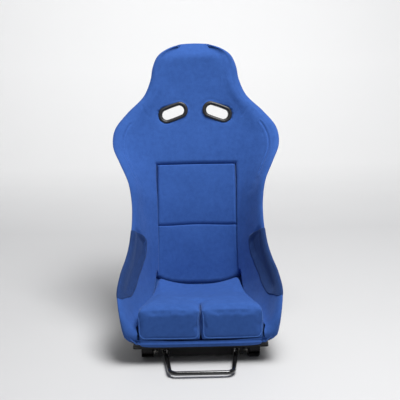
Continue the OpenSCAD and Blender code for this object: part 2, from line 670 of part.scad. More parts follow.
// Latch lever: a plate on the pivot pin, fixed to the bar, with teeth that point up under the strip
TOOTH_TOP = 18;
TAIL_LOW = 9;
TOOTH_X = 142.5;
module latch_lever(side) {
  color(zinc) on_side(side) {
    difference() {
      union() {
        translate([LEVER_X, 0, 0]) rotate([90, 0, 90]) linear_extrude(LEVER_T) {
          translate([PIVOT_Y, PIVOT_Z]) circle(r = 8, $fn = 48);
          polygon([[PIVOT_Y - 8, PIVOT_Z], [PIVOT_Y - 8, 13], [-118, TAIL_LOW], [-88, TAIL_LOW], [-88, 16], [-112, 16],
                   [-120, 26], [PIVOT_Y + 8, PIVOT_Z]]);
        }
        translate([LEVER_X + LEVER_T, -112, TAIL_LOW]) cube([TOOTH_X + 5 - LEVER_X - LEVER_T, 24, 4]);
        for (y = [TOOTH_Y - 6, TOOTH_Y + 6])
          translate([TOOTH_X, y + (y < TOOTH_Y ? -8.5 : 3.5), TAIL_LOW + 3]) cube([5, 5, TOOTH_TOP - TAIL_LOW - 3]);
      }
      translate([LEVER_X - 1, PIVOT_Y, PIVOT_Z]) rotate([0, 90, 0]) cylinder(r = PIN_R + 0.05, h = 6, $fn = 48);
      translate([LEVER_X - 1, -124, BAR_END_Z]) rotate([0, 90, 0]) cylinder(r = 2.52, h = 6, $fn = 32);
    }
  }
}
module latch_lever_left() latch_lever(-1);
module latch_lever_right() latch_lever(1);

module bar_screws() {
  color(zinc) mirrored() translate([0, -124, BAR_END_Z]) rotate([0, 90, 0]) {
    translate([0, 0, LEVER_X + LEVER_T]) cylinder(r = 4.4, h = 2, $fn = 6);
    translate([0, 0, LEVER_X + 0.1]) cylinder(r = 2.5, h = LEVER_T, $fn = 32);
  }
}

BRACKET_X = 141;
BRACKET_T = 3;
BRACKET_FRONT = -198;
BRACKET_REAR = -92;
ANCHOR_Y = -100;
ANCHOR_Z = 34.5;
SPRING_LOW_Z = 12.5;
module latch_bracket(side) {
  color(steel_black) on_side(side) difference() {
    union() {
      translate([BRACKET_X, BRACKET_FRONT, 23]) cube([BRACKET_T, BRACKET_REAR - BRACKET_FRONT, 18]);
      translate([BRACKET_X, BRACKET_FRONT, 38]) cube([14.5, BRACKET_REAR - BRACKET_FRONT, 2.9]);
    }
    translate([BRACKET_X - 1, PIVOT_Y, PIVOT_Z]) rotate([0, 90, 0]) cylinder(r = PIN_R + 0.01, h = 6, $fn = 48);
    translate([BRACKET_X - 1, ANCHOR_Y, ANCHOR_Z]) rotate([0, 90, 0]) cylinder(r = 1.51, h = 6, $fn = 24);
    for (y = BRACKET_RIVET_Y) translate([150, y, 36]) cylinder(r = 2.52, h = 8, $fn = 24);
  }
}
module latch_bracket_left() latch_bracket(-1);
module latch_bracket_right() latch_bracket(1);

BRACKET_RIVET_Y = [-190, -165];
module bracket_rivets() {
  color(zinc) mirrored() for (y = BRACKET_RIVET_Y) translate([150, y, 0]) {
    translate([0, 0, 36.4]) cylinder(r = 4, h = 1.6, $fn = 32);
    translate([0, 0, 37]) cylinder(r = 2.5, h = 3.95, $fn = 32);
  }
}

module pivot_pins() {
  color(zinc) mirrored() translate([0, PIVOT_Y, PIVOT_Z]) rotate([0, 90, 0]) {
    translate([0, 0, LEVER_X - 3]) cylinder(r = PIN_R, h = BRACKET_X + BRACKET_T + 3 - LEVER_X, $fn = 48);
    translate([0, 0, BRACKET_X + BRACKET_T]) cylinder(r = 5.7, h = 2.4, $fn = 48);
  }
}
module pivot_clips() {
  color(zinc) mirrored() translate([LEVER_X - 2, PIVOT_Y, PIVOT_Z]) rotate([0, 90, 0]) difference() {
    cylinder(r = 6, h = 1.2, $fn = 48);
    translate([0, 0, -1]) cylinder(r = PIN_R + 0.01, h = 4, $fn = 48);
    translate([-1.5, 0, -1]) cube([3, 10, 4]);
  }
}

// Extension spring from the lever's tail up to the bracket
SPRING_X = 119.5;
HOOK_X = 117;
COIL_R = 2.6;
WIRE_R = 0.45;
COIL_TURNS = 9;
COIL_STEPS = 10;
COIL_LOW = 17;
COIL_HIGH = 30;
module return_spring(side) {
  steps = COIL_TURNS * COIL_STEPS;
  coil = [for (i = [0 : steps])
    [SPRING_X + COIL_R * sin(360 * i / COIL_STEPS), ANCHOR_Y + COIL_R * cos(360 * i / COIL_STEPS),
     COIL_LOW + (COIL_HIGH - COIL_LOW) * i / steps]];
  low_hook = [[SPRING_X, ANCHOR_Y - 2.4, 12.5], [SPRING_X, ANCHOR_Y - 2.4, 14.5], [SPRING_X, ANCHOR_Y + 1, 16]];
  high_hook = [[SPRING_X, ANCHOR_Y + 2.4, 31.6], [SPRING_X, ANCHOR_Y + 2.4, 34.5]];
  color(zinc) on_side(side) swept_tube(concat(low_hook, coil, high_hook), WIRE_R, 6);
}
module return_spring_left() return_spring(-1);
module return_spring_right() return_spring(1);

module spring_anchor_pins() {
  color(zinc) mirrored() translate([HOOK_X, ANCHOR_Y, ANCHOR_Z]) rotate([0, 90, 0])
    cylinder(r = 1.5, h = BRACKET_X + BRACKET_T - HOOK_X, $fn = 24);
}
module spring_lever_pins() {
  color(zinc) mirrored() translate([HOOK_X, ANCHOR_Y, SPRING_LOW_Z]) rotate([0, 90, 0])
    cylinder(r = 1.5, h = LEVER_X - HOOK_X, $fn = 24);
}

seat_shell();
shell_edge_trim();
shell_mount_bosses();
captive_nut_plates();
upper_back_pad();
back_insert_upper();
back_insert_lower();
side_bolster_left();
side_bolster_right();
hip_patch_left();
hip_patch_right();
pan_liner();
seat_cushion();
hook_loop_strips();
harness_bezel_front_left();
harness_bezel_front_right();
harness_bezel_rear_left();
harness_bezel_rear_right();
bezel_screws();
adapter_front();
adapter_rear();
shell_bolts();
adapter_bolts();
adapter_nuts();
upper_rail_left();
upper_rail_right();
lower_rail_left();
lower_rail_right();
lock_strip_left();
lock_strip_right();
strip_rivets();
floor_feet();
floor_foot_front_right();
travel_stops();
ball_cage_left();
ball_cage_right();
bearing_balls_left();
bearing_balls_right();
towel_bar();
latch_lever_left();
latch_lever_right();
bar_screws();
latch_bracket_left();
latch_bracket_right();
bracket_rivets();
pivot_pins();
pivot_clips();
return_spring_left();
return_spring_right();
spring_anchor_pins();
spring_lever_pins();
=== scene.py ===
"""Looks of the racing seat: upholstery, shell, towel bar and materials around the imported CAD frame.
Lengths in the form's functions are millimetres, as in the CAD; pieces are built in metres."""
import math
import bmesh
import bpy
import numpy as np
from mathutils import Matrix, Vector, bvhtree, kdtree


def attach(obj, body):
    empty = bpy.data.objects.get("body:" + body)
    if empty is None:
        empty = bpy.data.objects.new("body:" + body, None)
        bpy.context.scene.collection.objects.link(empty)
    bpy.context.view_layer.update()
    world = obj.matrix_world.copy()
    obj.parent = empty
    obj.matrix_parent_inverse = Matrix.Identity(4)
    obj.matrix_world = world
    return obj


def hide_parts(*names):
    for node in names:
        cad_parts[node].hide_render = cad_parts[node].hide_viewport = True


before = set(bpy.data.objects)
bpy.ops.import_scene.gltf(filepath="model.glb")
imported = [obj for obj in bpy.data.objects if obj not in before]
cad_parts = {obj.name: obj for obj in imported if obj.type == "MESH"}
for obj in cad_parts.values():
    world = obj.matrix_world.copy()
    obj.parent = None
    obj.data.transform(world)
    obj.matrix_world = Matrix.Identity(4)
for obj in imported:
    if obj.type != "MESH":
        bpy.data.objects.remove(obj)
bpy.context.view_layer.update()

# ---- the seat's form: the same rows and formulas as in the CAD -----------------------------------
# centre line y and z, rim y and z, half width, squareness, wrap angle, padding middle, padding side
ROWS = np.array([
    [-243, 74, -240, 80, 212, 4.2, 84, 12, 16],
    [-235, 65, -244, 112, 236, 4.4, 86, 14, 40],
    [-206, 54, -230, 168, 253, 4.4, 87, 14, 54],
    [-140, 50, -180, 222, 262, 4.2, 88, 14, 56],
    [-60, 50, -112, 262, 254, 4.0, 88, 14, 54],
    [25, 51, -50, 292, 240, 3.8, 88, 14, 52],
    [100, 68, -4, 322, 230, 3.6, 86, 16, 50],
    [146, 124, 28, 358, 224, 3.4, 84, 28, 48],
    [170, 200, 54, 404, 220, 3.4, 84, 34, 46],
    [192, 290, 80, 460, 221, 3.4, 84, 36, 44],
    [218, 390, 104, 522, 232, 3.2, 80, 36, 42],
    [246, 490, 134, 582, 260, 3.0, 74, 36, 40],
    [272, 575, 170, 632, 283, 2.6, 70, 36, 36],
    [294, 650, 210, 684, 277, 2.5, 66, 34, 34],
    [310, 715, 252, 732, 236, 2.5, 62, 32, 32],
    [322, 775, 278, 784, 180, 2.5, 66, 32, 30],
    [331, 835, 292, 838, 154, 2.6, 70, 32, 30],
    [337, 885, 300, 886, 144, 2.7, 72, 32, 30],
    [340, 925, 306, 924, 126, 2.8, 70, 32, 26],
    [340, 950, 312, 947, 93, 3.0, 66, 26, 18],
    [338, 962, 318, 959, 56, 3.0, 60, 14, 8]], float)
TOP = len(ROWS) - 1
# places across, 0 in the middle and 1 at the rim: the padding thickens, and rounds off to the rim
THICKEN_FROM, THICKEN_TO, ROUND_FROM = 0.35, 0.75, 0.72
SHELL_T = 4.5
FLOOR_T = 12.6       # the cover's thickness under the cushion and the inserts
INSERT_HALF = 144
PAN_END, INSERT_LOW, INSERT_SPLIT, INSERT_TOP = 6.9, 7.05, 9.15, 11.45      # rows
ROW_MM, ACROSS_MM = 100, 280.0      # about how long a row and the way from middle to rim are
CUSHION_U = [1, 2, 3, 4, 5, 6, 7]
CUSHION_X = [197, 196, 182, 168, 154, 144, 138]
BOLTS = [(x, y) for x in (-120, 120) for y in (-176, 55)]
SLOT_X, SLOT_Y, SLOT_Z = 78, 277.7, 729.5
SLOT_TILT, BACK_LEAN = 20, 11
SLOT_LEN, SLOT_H = 80, 36
FLANGE_LEN, FLANGE_H = 108, 60
SIDES = ((-1, "left"), (1, "right"))


def smooth(v):
    """A soft step from 0 to 1 while v goes from 0 to 1."""
    v = np.clip(v, 0, 1)
    return v * v * (3 - 2 * v)


def between(a, b, c, d, t):
    """A Catmull-Rom curve from b at t = 0 to c at t = 1."""
    return 0.5 * (2 * b + (c - a) * t + (2 * a - 5 * b + 4 * c - d) * t ** 2
                  + (3 * b - a - 3 * c + d) * t ** 3)


def row(u):
    """The row at any height, by a curve through ROWS."""
    u = np.clip(np.asarray(u, float), 0, TOP)
    i = np.minimum(np.floor(u).astype(int), TOP - 1)
    return between(ROWS[np.maximum(i - 1, 0)], ROWS[i], ROWS[i + 1], ROWS[np.minimum(i + 2, TOP)],
                   (u - i)[..., None])


def full_padding(r, a):
    """The padding's thickness before it rounds off: thin in the middle, thick at the bolsters."""
    return r[..., 7] + (r[..., 8] - r[..., 7]) * smooth((a - THICKEN_FROM) / (THICKEN_TO - THICKEN_FROM))


def padding(u, s):
    """The padding's thickness, rounded off to nothing at the rim."""
    a = np.abs(s)
    q = np.clip((a - ROUND_FROM) / (1 - ROUND_FROM), 0, 1)
    return full_padding(row(u), a) * np.sqrt(1 - q * q)


def rounding(gap, radius):
    """How far a face drops at that distance from an edge of that radius."""
    return radius * (1 - np.sqrt(1 - np.clip(1 - gap / radius, 0, 1) ** 2))


def size_of(v):
    """The vectors' lengths, with the last axis kept."""
    return np.linalg.norm(v, axis=-1)[..., None]


def lengths_along(points):
    """Distances along a line from its first point."""
    return np.concatenate([[0], np.cumsum(np.linalg.norm(np.diff(points, axis=0), axis=-1))])


def bunched(count, share=0.5):
    """Places from -1 to 1 that lie closer together towards both ends."""
    even = np.linspace(-1, 1, count)
    return share * np.sin(even * math.pi / 2) + (1 - share) * even


def form(u, s, depth=0.0):
    """A point at that depth inward from the shell's outer face: u along the rows, s across."""
    u, s, depth = np.broadcast_arrays(*(np.asarray(v, float) for v in (u, s, depth)))
    r = row(u)
    low, rim, wide, e = r[..., 0:2], r[..., 2:4], r[..., 4], 2 / r[..., 5]
    wrap = np.radians(r[..., 6])
    height = np.linalg.norm(rim - low, axis=-1)
    angle = np.abs(s) ** (r[..., 5] / 2) * wrap

    def across(t):
        return wide * np.sin(t) ** e / np.sin(wrap) ** e

    def inward(t):
        return height * (1 - np.cos(t) ** e) / (1 - np.cos(wrap) ** e)
    over = np.minimum(angle + 1e-3, wrap)
    under = np.maximum(angle - 1e-3, 0)
    dx, dw = across(over) - across(under), inward(over) - inward(under)
    slope = np.hypot(dx, dw) + 1e-12
    x = across(angle) - depth * dw / slope
    w = inward(angle) + depth * dx / slope
    side_view = low + (rim - low) / height[..., None] * w[..., None]
    return np.concatenate([np.where(s < 0, -x, x)[..., None], side_view], -1)


def place_across(u, x, share):
    """The place across a row where the face at that share of the padding reaches x."""
    u = np.asarray(u, float)
    low, high = np.zeros(u.shape), np.full(u.shape, 0.97)
    for _ in range(16):
        middle = (low + high) / 2
        short = form(u, middle, share * padding(u, middle))[..., 0] < x
        low, high = np.where(short, middle, low), np.where(short, high, middle)
    return (low + high) / 2


def seam_line(u):
    """The place across where the bolsters meet the cushion, the inserts and the upper back."""
    u = np.asarray(u, float)
    pan = place_across(np.minimum(u, PAN_END), np.interp(u, CUSHION_U, CUSHION_X) + 4, 1)
    wide = INSERT_HALF + 5.2 * np.maximum(11.4 - u, 0)
    back = place_across(np.clip(u, INSERT_LOW, INSERT_TOP), wide, 0) + 0.006
    return pan + (back - pan) * smooth((u - PAN_END) / (INSERT_LOW - PAN_END))


def slot_frame(side):
    """A harness slot's centre, and the turn from its axes (x along it, y across it, z out of the
    back's front) to the seat's."""
    lean, tilt = math.radians(90 - BACK_LEAN), math.radians(-side * SLOT_TILT)
    rx = np.array([[1, 0, 0], [0, math.cos(lean), -math.sin(lean)], [0, math.sin(lean), math.cos(lean)]])
    rz = np.array([[math.cos(tilt), -math.sin(tilt), 0], [math.sin(tilt), math.cos(tilt), 0], [0, 0, 1]])
    return np.array([side * SLOT_X, SLOT_Y, SLOT_Z]), rx @ rz


def to_slot(p, side):
    """Points of the seat in the frame of a harness slot."""
    centre, turn = slot_frame(side)
    return (p - centre) @ turn


def from_slot(q, side):
    """Points of a harness slot's frame in the seat's."""
    centre, turn = slot_frame(side)
    return q @ turn.T + centre


def slot_distance(q, length, height):
    """Distance outside a slot's outline with round ends, in the slot's plane."""
    x = np.maximum(np.abs(q[..., 0]) - (length - height) / 2, 0)
    return np.hypot(x, q[..., 1]) - height / 2


# ---- mesh helpers --------------------------------------------------------------------------------
def mesh_object(name, points, faces, uv=None):
    """A smooth-shaded object from points in millimetres and faces as rows of point numbers."""
    mesh = bpy.data.meshes.new(name)
    points = np.asarray(points, float) / 1000
    lengths = np.array([len(f) for f in faces])
    corners = np.concatenate([np.asarray(f) for f in faces])
    mesh.vertices.add(len(points))
    mesh.vertices.foreach_set("co", points.ravel())
    mesh.loops.add(len(corners))
    mesh.loops.foreach_set("vertex_index", corners)
    mesh.polygons.add(len(faces))
    mesh.polygons.foreach_set("loop_start", np.concatenate([[0], np.cumsum(lengths)[:-1]]))
    mesh.polygons.foreach_set("loop_total", lengths)
    if uv is not None:
        layer = mesh.uv_layers.new(name="cloth")
        layer.data.foreach_set("uv", np.asarray(uv, float)[corners].ravel())
    mesh.update(calc_edges=True)
    mesh.validate()
    mesh.polygons.foreach_set("use_smooth", np.ones(len(mesh.polygons), bool))
    obj = bpy.data.objects.new(name, mesh)
    bpy.context.scene.collection.objects.link(obj)
    return obj


def grid_faces(rows, cols, first=0, flip=False, skip=None):
    """Quads over a grid of points, without the cells marked in skip."""
    i, j = np.meshgrid(np.arange(rows - 1), np.arange(cols - 1), indexing="ij")
    if skip is not None:
        i, j = i[~skip], j[~skip]
    a = (i * cols + j).ravel() + first
    quad = np.stack([a, a + 1, a + cols + 1, a + cols], -1)
    return quad[:, ::-1] if flip else quad


def strip_faces(a, b):
    """Quads between two closed rings of point numbers."""
    return np.stack([a, np.roll(a, -1), np.roll(b, -1), b], -1)


def boundary(rows, cols):
    """Point numbers round the edge of a grid, one way round."""
    index = np.arange(rows * cols).reshape(rows, cols)
    return np.concatenate([index[:, -1], index[-1, -2::-1], index[-2::-1, 0], index[0, 1:-1]])


def arc_uv(points):
    """Distances along and across a grid of points, in metres, as texture coordinates."""
    across = np.cumsum(np.pad(np.linalg.norm(np.diff(points, axis=1), axis=-1), ((0, 0), (1, 0))), axis=1)
    across -= across[:, across.shape[1] // 2][:, None]
    along = np.cumsum(np.pad(np.linalg.norm(np.diff(points, axis=0), axis=-1), ((1, 0), (0, 0))), axis=0)
    middle = along[:, points.shape[1] // 2][:, None]
    return np.stack([across, 0.5 * along + 0.5 * middle], -1) / 1000


def tube(name, path, radius, sides):
    """A tube along points in millimetres, with a radius for each point and flat ends."""
    ahead = np.roll(path, -1, 0) - np.roll(path, 1, 0)
    ahead[0], ahead[-1] = path[1] - path[0], path[-1] - path[-2]
    ahead /= size_of(ahead)
    side = np.cross(ahead[0], [0, 0, 1.0] if abs(ahead[0][2]) < 0.9 else [1.0, 0, 0])
    turn = np.linspace(0, 2 * math.pi, sides, endpoint=False)[:, None]
    rings = []
    for p, t, r in zip(path, ahead, radius):
        side = side - t * (side @ t)
        side /= np.linalg.norm(side)
        rings.append(p + r * (np.cos(turn) * side + np.sin(turn) * np.cross(t, side)))
    index = np.arange(len(path) * sides).reshape(-1, sides)
    walls = np.concatenate([strip_faces(upper, lower) for lower, upper in zip(index, index[1:])])
    return mesh_object(name, np.concatenate(rings), [*walls, index[0], index[-1][::-1]])


def resample(path, step):
    """The line again, with points at even distances of about a step."""
    d = lengths_along(path)
    at = np.linspace(0, d[-1], max(2, int(round(d[-1] / step)) + 1))
    return np.stack([np.interp(at, d, path[:, k]) for k in range(path.shape[1])], -1)


def curve_through(knots, per=12):
    """A smooth line through points of any dimension."""
    k = np.asarray(knots, float)
    k = np.vstack([2 * k[0] - k[1], k, 2 * k[-1] - k[-2]])
    t = np.linspace(0, 1, per, endpoint=False)[:, None]
    return np.vstack([between(k[i], k[i + 1], k[i + 2], k[i + 3], t) for i in range(len(k) - 3)] + [k[-2]])


# ---- seams and patches on the cover, as places [u, s] --------------------------------------------
WING_SEAM = [[13.35, 0.87], [12.9, 0.89], [12.3, 0.915], [11.7, 0.93], [11.1, 0.938], [10.5, 0.935]]
NECK_SEAM = [[14.5, 0.93], [14.15, 0.78], [13.8, 0.62]]
PLEATS = [[10.35, 0.90], [10.0, 0.86], [12.75, 0.86]]
# the hip patch from the rim over its top edge, and down its inner edge to the rim again
PATCH_LINE = curve_through([
    [7.30, 1.0], [7.55, 0.975], [7.78, 0.94], [7.88, 0.905], [7.75, 0.885], [7.3, 0.885],
    [6.8, 0.895], [6.4, 0.912], [5.8, 0.925], [5.2, 0.934], [4.5, 0.933], [4.1, 0.936],
    [3.85, 0.941], [3.62, 0.951], [3.45, 0.963], [3.2, 0.978], [2.95, 0.99], [2.78, 1.0]])
PATCH_TIP = PATCH_LINE[:, 0].argmax()


def patch_inner(u):
    """The place across of the hip patch's inner edge."""
    line = PATCH_LINE[PATCH_TIP:]
    return np.interp(-np.asarray(u, float), -line[:, 0], line[:, 1], left=1.0, right=1.0)


def seam_rise(u):
    """How far the seams across the inserts bow upward in the middle, in rows."""
    return np.interp(u, [INSERT_LOW, INSERT_SPLIT, INSERT_TOP, 13.6], [0.0, 0.2, 0.09, 0.0])


HEAD_RIM = np.concatenate([form(np.linspace(16, TOP, 160), -1), form(TOP, np.linspace(-0.99, 0.99, 60)),
                           form(np.linspace(TOP, 16, 160), 1)])


def cover_depth(u, s, edge, line=None):
    """The cover's thickness, with the recesses, rolled edges and scooped hips; line is the row
    before the insert seams are bowed."""
    a = np.abs(s)
    line = u if line is None else line
    t = padding(u, s)
    # the bolsters' front ends are no thicker than their row is high
    r = row(u)
    high = np.hypot(r[..., 2] - r[..., 0], r[..., 3] - r[..., 1])
    t = np.where((a > edge) & (u < 1.8), np.minimum(t, 3 + 0.9 * high), t)
    # the head rest rounds off over a wider band than the rest
    soft = np.clip((a - 0.5) / 0.5, 0, 1)
    firm = np.clip((a - ROUND_FROM) / (1 - ROUND_FROM), 0, 1)
    softer = np.sqrt(1 - np.minimum(soft, 0.9999) ** 2) / np.sqrt(1 - np.minimum(firm, 0.9999) ** 2)
    t = t * (1 + (np.clip(softer, 0, 1) - 1) * smooth((u - 15) / 2))
    lip = np.clip((0.6 - u) / 0.6, 0, 1)
    t = t * np.sqrt(1 - lip ** 2)
    # the top of the head rest rounds off by its distance from the rim, all the way round
    far = np.clip(near(form(u, s), HEAD_RIM) / 54, 0, 1)
    crowned = full_padding(r, a) * np.sqrt(1 - (1 - far) ** 2)
    t = t + (crowned - t) * smooth((u - 17.2) / 1.4)
    beside = np.maximum(a - edge, 0) * ACROSS_MM
    above = np.maximum(line - INSERT_TOP, 0) * ROW_MM
    roll = rounding(np.hypot(beside, above), np.where(u < PAN_END, 12.0, 14.0))
    inside = (a < edge) & (line < INSERT_TOP)
    inner = patch_inner(u)
    scoop = 7.0 * smooth((a - inner) / 0.035) * smooth((1 - a) / 0.03) * smooth((u - 2.9) / 1.0)
    t = t - scoop * smooth((7.75 - u) / 0.35)
    full = np.maximum(t - roll * (t > FLOOR_T), np.minimum(t, FLOOR_T + 0.6))
    return np.where(inside, np.minimum(t, FLOOR_T), full)


# how far the cloth is eased outward before the rim, and the cover turned over the shell's edge:
# out past the rim, and inward from the shell's outer face
RIM_EASE = 1.9
RIM_PROFILE = [
    [2.2, -1.0], [1.5, -1.9], [0.3, -2.3], [-3, -2.4], [-7, -2.5], [-10.5, -2.6], [-12.6, -2.4],
    [-13.6, -1.8], [-13.8, -1.1], [-13.2, -0.45], [-11, -0.3], [-4, -0.3], [0.5, -0.3], [0.9, 2.2],
    [0.5, 4.8], [-2.5, 5.0]]


def rim_frame(u, s, ahead=None):
    """At rim places: the rim point, the way out past the rim, and the way inward from the shell."""
    if ahead is None:
        ahead = form(np.clip(u + 0.05, 0, TOP), s) - form(np.clip(u - 0.05, 0, TOP), s)
    ahead = ahead / (size_of(ahead) + 1e-12)
    near_u, near_s = np.clip(u, 0.45, TOP - 0.45), s * 0.97
    up = form(near_u + 0.05, near_s) - form(near_u - 0.05, near_s)
    over = form(near_u, near_s + 0.005) - form(near_u, near_s - 0.005)
    rim, inner = form(u, s), form(near_u, near_s)
    into = np.cross(over, up)
    into *= np.sign(np.sum(into * (form(near_u, near_s, 5) - inner), -1))[..., None]
    into -= ahead * np.sum(into * ahead, -1)[..., None]
    into /= size_of(into)
    out = np.cross(ahead, into)
    out *= np.sign(np.sum(out * (rim - inner), -1))[..., None]
    return rim, out, into


def eased(vectors, ring, reach):
    """Unit vectors round a closed ring, each blended with those within reach along it."""
    step = np.linalg.norm(np.roll(ring, -1, 0) - ring, axis=-1)
    at = np.concatenate([[0], np.cumsum(step)[:-1]])
    apart = np.abs(at[:, None] - at[None, :])
    apart = np.minimum(apart, step.sum() - apart)
    weight = np.exp(-(apart / reach) ** 2) * (step + np.roll(step, 1))[None, :]
    blend = weight @ vectors
    return blend / size_of(blend)


def cover_rows():
    """Heights of the cover's grid rows, closer together at the lip, the head and the insert's top."""
    dense = np.linspace(0, TOP, 2001)
    middle, rim = form(dense, 0 * dense, 14), form(dense, 0 * dense + 0.9, 40)
    length = (lengths_along(middle) + lengths_along(rim)) / 2
    u = np.interp(np.linspace(0, length[-1], int(length[-1] / 3.6)), length, dense)
    u = u[(u > 0.62) & (u < 19.05) & (np.abs(u - INSERT_TOP - 0.02) > 0.09)]
    lip = [0, 0.03, 0.08, 0.16, 0.27, 0.4, 0.52]
    head = [19.15, 19.3, 19.45, 19.6, 19.73, 19.83, 19.91, 19.97, 20.0]
    wall = [-0.06, -0.03, -0.012, -0.0005, 0.0005, 0.006, 0.014, 0.026, 0.045, 0.07, 0.1]
    return np.unique(np.concatenate([u, lip, head, INSERT_TOP + np.array(wall)]))


def cover_columns(u):
    """Places across for each row, closer together at the seam line and at the rim."""
    edge = seam_line(u)[:, None]
    inner = np.linspace(0, 1, 34)[None, :-1] * (edge - 0.006)
    beside = np.array([-0.006, -0.0006, 0.0006, 0.003, 0.007, 0.013, 0.021])[None, :] + edge
    start = edge + 0.021
    g = np.sin(np.linspace(0, 1, 47)[1:] * math.pi / 2)[None, :]
    half = np.concatenate([inner, beside, start + (1 - start) * g], 1)
    return np.concatenate([-half[:, :0:-1], half], 1), edge


def seam_on_cover(knots, side, shift=0.0, step=2):
    """A seam's points on the cover's face on one side, shifted across by that much."""
    line = curve_through(knots)
    return resample(cover_point(line[:, 0], side * (line[:, 1] - shift)), step)


def kept_beside(p, u, s, edge):
    """Keeps the bolsters' front ends outside the cushion's sides."""
    least = np.interp(u, CUSHION_U, CUSHION_X) + 1.6
    held = (np.abs(s) > edge) & (u < 2.2)
    beyond = np.maximum(np.abs(p[..., 0]) - least, 0)
    hug = 0.75 * np.exp(-(beyond / 13) ** 2) * smooth((2.2 - u) / 0.8) * smooth((p[..., 2] - 88) / 14)
    p[..., 0] = np.where(held, np.sign(s) * (least + beyond * (1 - hug)), p[..., 0])
    return p


def padded_form(u, s, depth):
    """The cover's face: like form, but at the head's top all of the padding goes forward, so that
    the cloth of the sides and of the top doesn't fold over at their meeting."""
    bare = form(u, s)
    thick = form(u, s, depth) - bare
    forward = form(u, 0 * u, 1.0) - form(u, 0 * u)
    share = smooth((u - 18.0) / 1.3)[..., None]
    size = size_of(thick)
    mixed = thick * (1 - share) + forward * size * share
    return bare + mixed * size / (size_of(mixed) + 1e-9)


def cover_point(u, s):
    """A point of the cover's face, before its seams and wrinkles."""
    u, s = np.broadcast_arrays(np.asarray(u, float), np.asarray(s, float))
    edge = seam_line(u)
    return kept_beside(padded_form(u, s, cover_depth(u, s, edge)), u, s, edge)


def grid_normals(g):
    """Unit normals over a grid of points."""
    n = np.cross(np.gradient(g, axis=1), np.gradient(g, axis=0))
    return n / (size_of(n) + 1e-12)


def wrinkle_field(p, seed, scale):
    """Slow unevenness of stretched cloth over foam, from a few waves in space."""
    r = np.random.default_rng(seed)
    out = np.zeros(p.shape[:-1])
    for _ in range(9):
        k = r.normal(size=3)
        k *= 2 * math.pi / (scale * r.uniform(0.7, 1.5)) / np.linalg.norm(k)
        out += np.sin(p @ k + r.uniform(0, 6.28))
    return out / 3


def near(points, line):
    """Distance of each point to a sampled line; far from it, just a large number."""
    tree = kdtree.KDTree(len(line))
    for i, q in enumerate(line):
        tree.insert(Vector(q), i)
    tree.balance()
    flat = points.reshape(-1, 3)
    out = np.full(len(flat), 1e3)
    inside = (flat > line.min(0) - 30) & (flat < line.max(0) + 30)
    for i in np.nonzero(inside.all(1))[0]:
        out[i] = tree.find(Vector(flat[i]))[2]
    return out.reshape(points.shape[:-1])


def seam_push(g):
    """How far the seams and pleats draw the cloth in, and raise it beside them."""
    push = np.zeros(g.shape[:2])
    for side in (-1, 1):
        for knots, waves in ((WING_SEAM, ((-2.0, 0, 2.8), (0.9, 6.5, 4))),
                             (NECK_SEAM, ((-0.9, 0, 3.2), (0.35, 7, 4)))):
            d = near(g, seam_on_cover(knots, side))
            for height, at, wide in waves:
                push += height * np.exp(-((d - at) / wide) ** 2)
        # short pleats where the cloth turns in under the shoulder
        for at_u, at_s in PLEATS:
            local = g - cover_point(at_u, side * at_s)
            along = local @ np.array([side * 0.5, -0.3, 0.8])
            over = local @ np.array([side * 0.8, 0.2, -0.55])
            push -= np.exp(-(over / 3.5) ** 2 - (along / 13) ** 2)
    return push


def pressed_by_bezels(g, facing):
    """The face laid flat under the bezels' flanges, and drawn in round them."""
    for side in (-1, 1):
        q = to_slot(g, side)
        d = slot_distance(q, FLANGE_LEN, FLANGE_H)
        under = d < 1.5
        seat_z = np.where(under, -0.4, q[..., 2])
        q[..., 2] += np.where(facing, (seat_z - q[..., 2]) * smooth(1 - (d - 1.5) / 3), 0)
        q[..., 2] -= np.where(facing & ~under, 1.2 * smooth(1 - d / 16) * np.clip(d / 6, 0, 1), 0)
        g = from_slot(q, side)
    return g


def eased_outward(g, u, s, ring, out):
    """The cloth moved outward near the rim, so that it clears the shell's edge."""
    grid = np.zeros((g.shape[0] * g.shape[1], 3))
    grid[ring] = out
    grid = grid.reshape(g.shape)
    w_side = smooth((np.abs(s) - 0.9) / 0.1)[..., None]
    w_low = smooth((0.6 - u) / 0.6)[..., None]
    w_top = smooth((u - 18.6) / 1.4)[..., None]
    side_out = np.where((s < 0)[..., None], grid[:, :1], grid[:, -1:])
    way = w_side * side_out + w_low * grid[:1] + w_top * grid[-1:]
    weight = np.maximum(np.maximum(w_side, w_low), w_top)
    return g + RIM_EASE * weight * way / np.maximum(size_of(way), 1e-6)


def opening_walls(skip, cols, first_back):
    """Quads from front to back round the cells that are left out."""
    walls = []
    padded = np.pad(skip, 1)
    for i, j in zip(*np.nonzero(skip)):
        a = i * cols + j
        corners = {(-1, 0): (a, a + 1), (1, 0): (a + cols + 1, a + cols),
                   (0, -1): (a + cols, a), (0, 1): (a + 1, a + cols + 1)}
        for (di, dj), (p, q) in corners.items():
            if not padded[i + 1 + di, j + 1 + dj]:
                walls.append([p, q, first_back + q, first_back + p])
    return walls


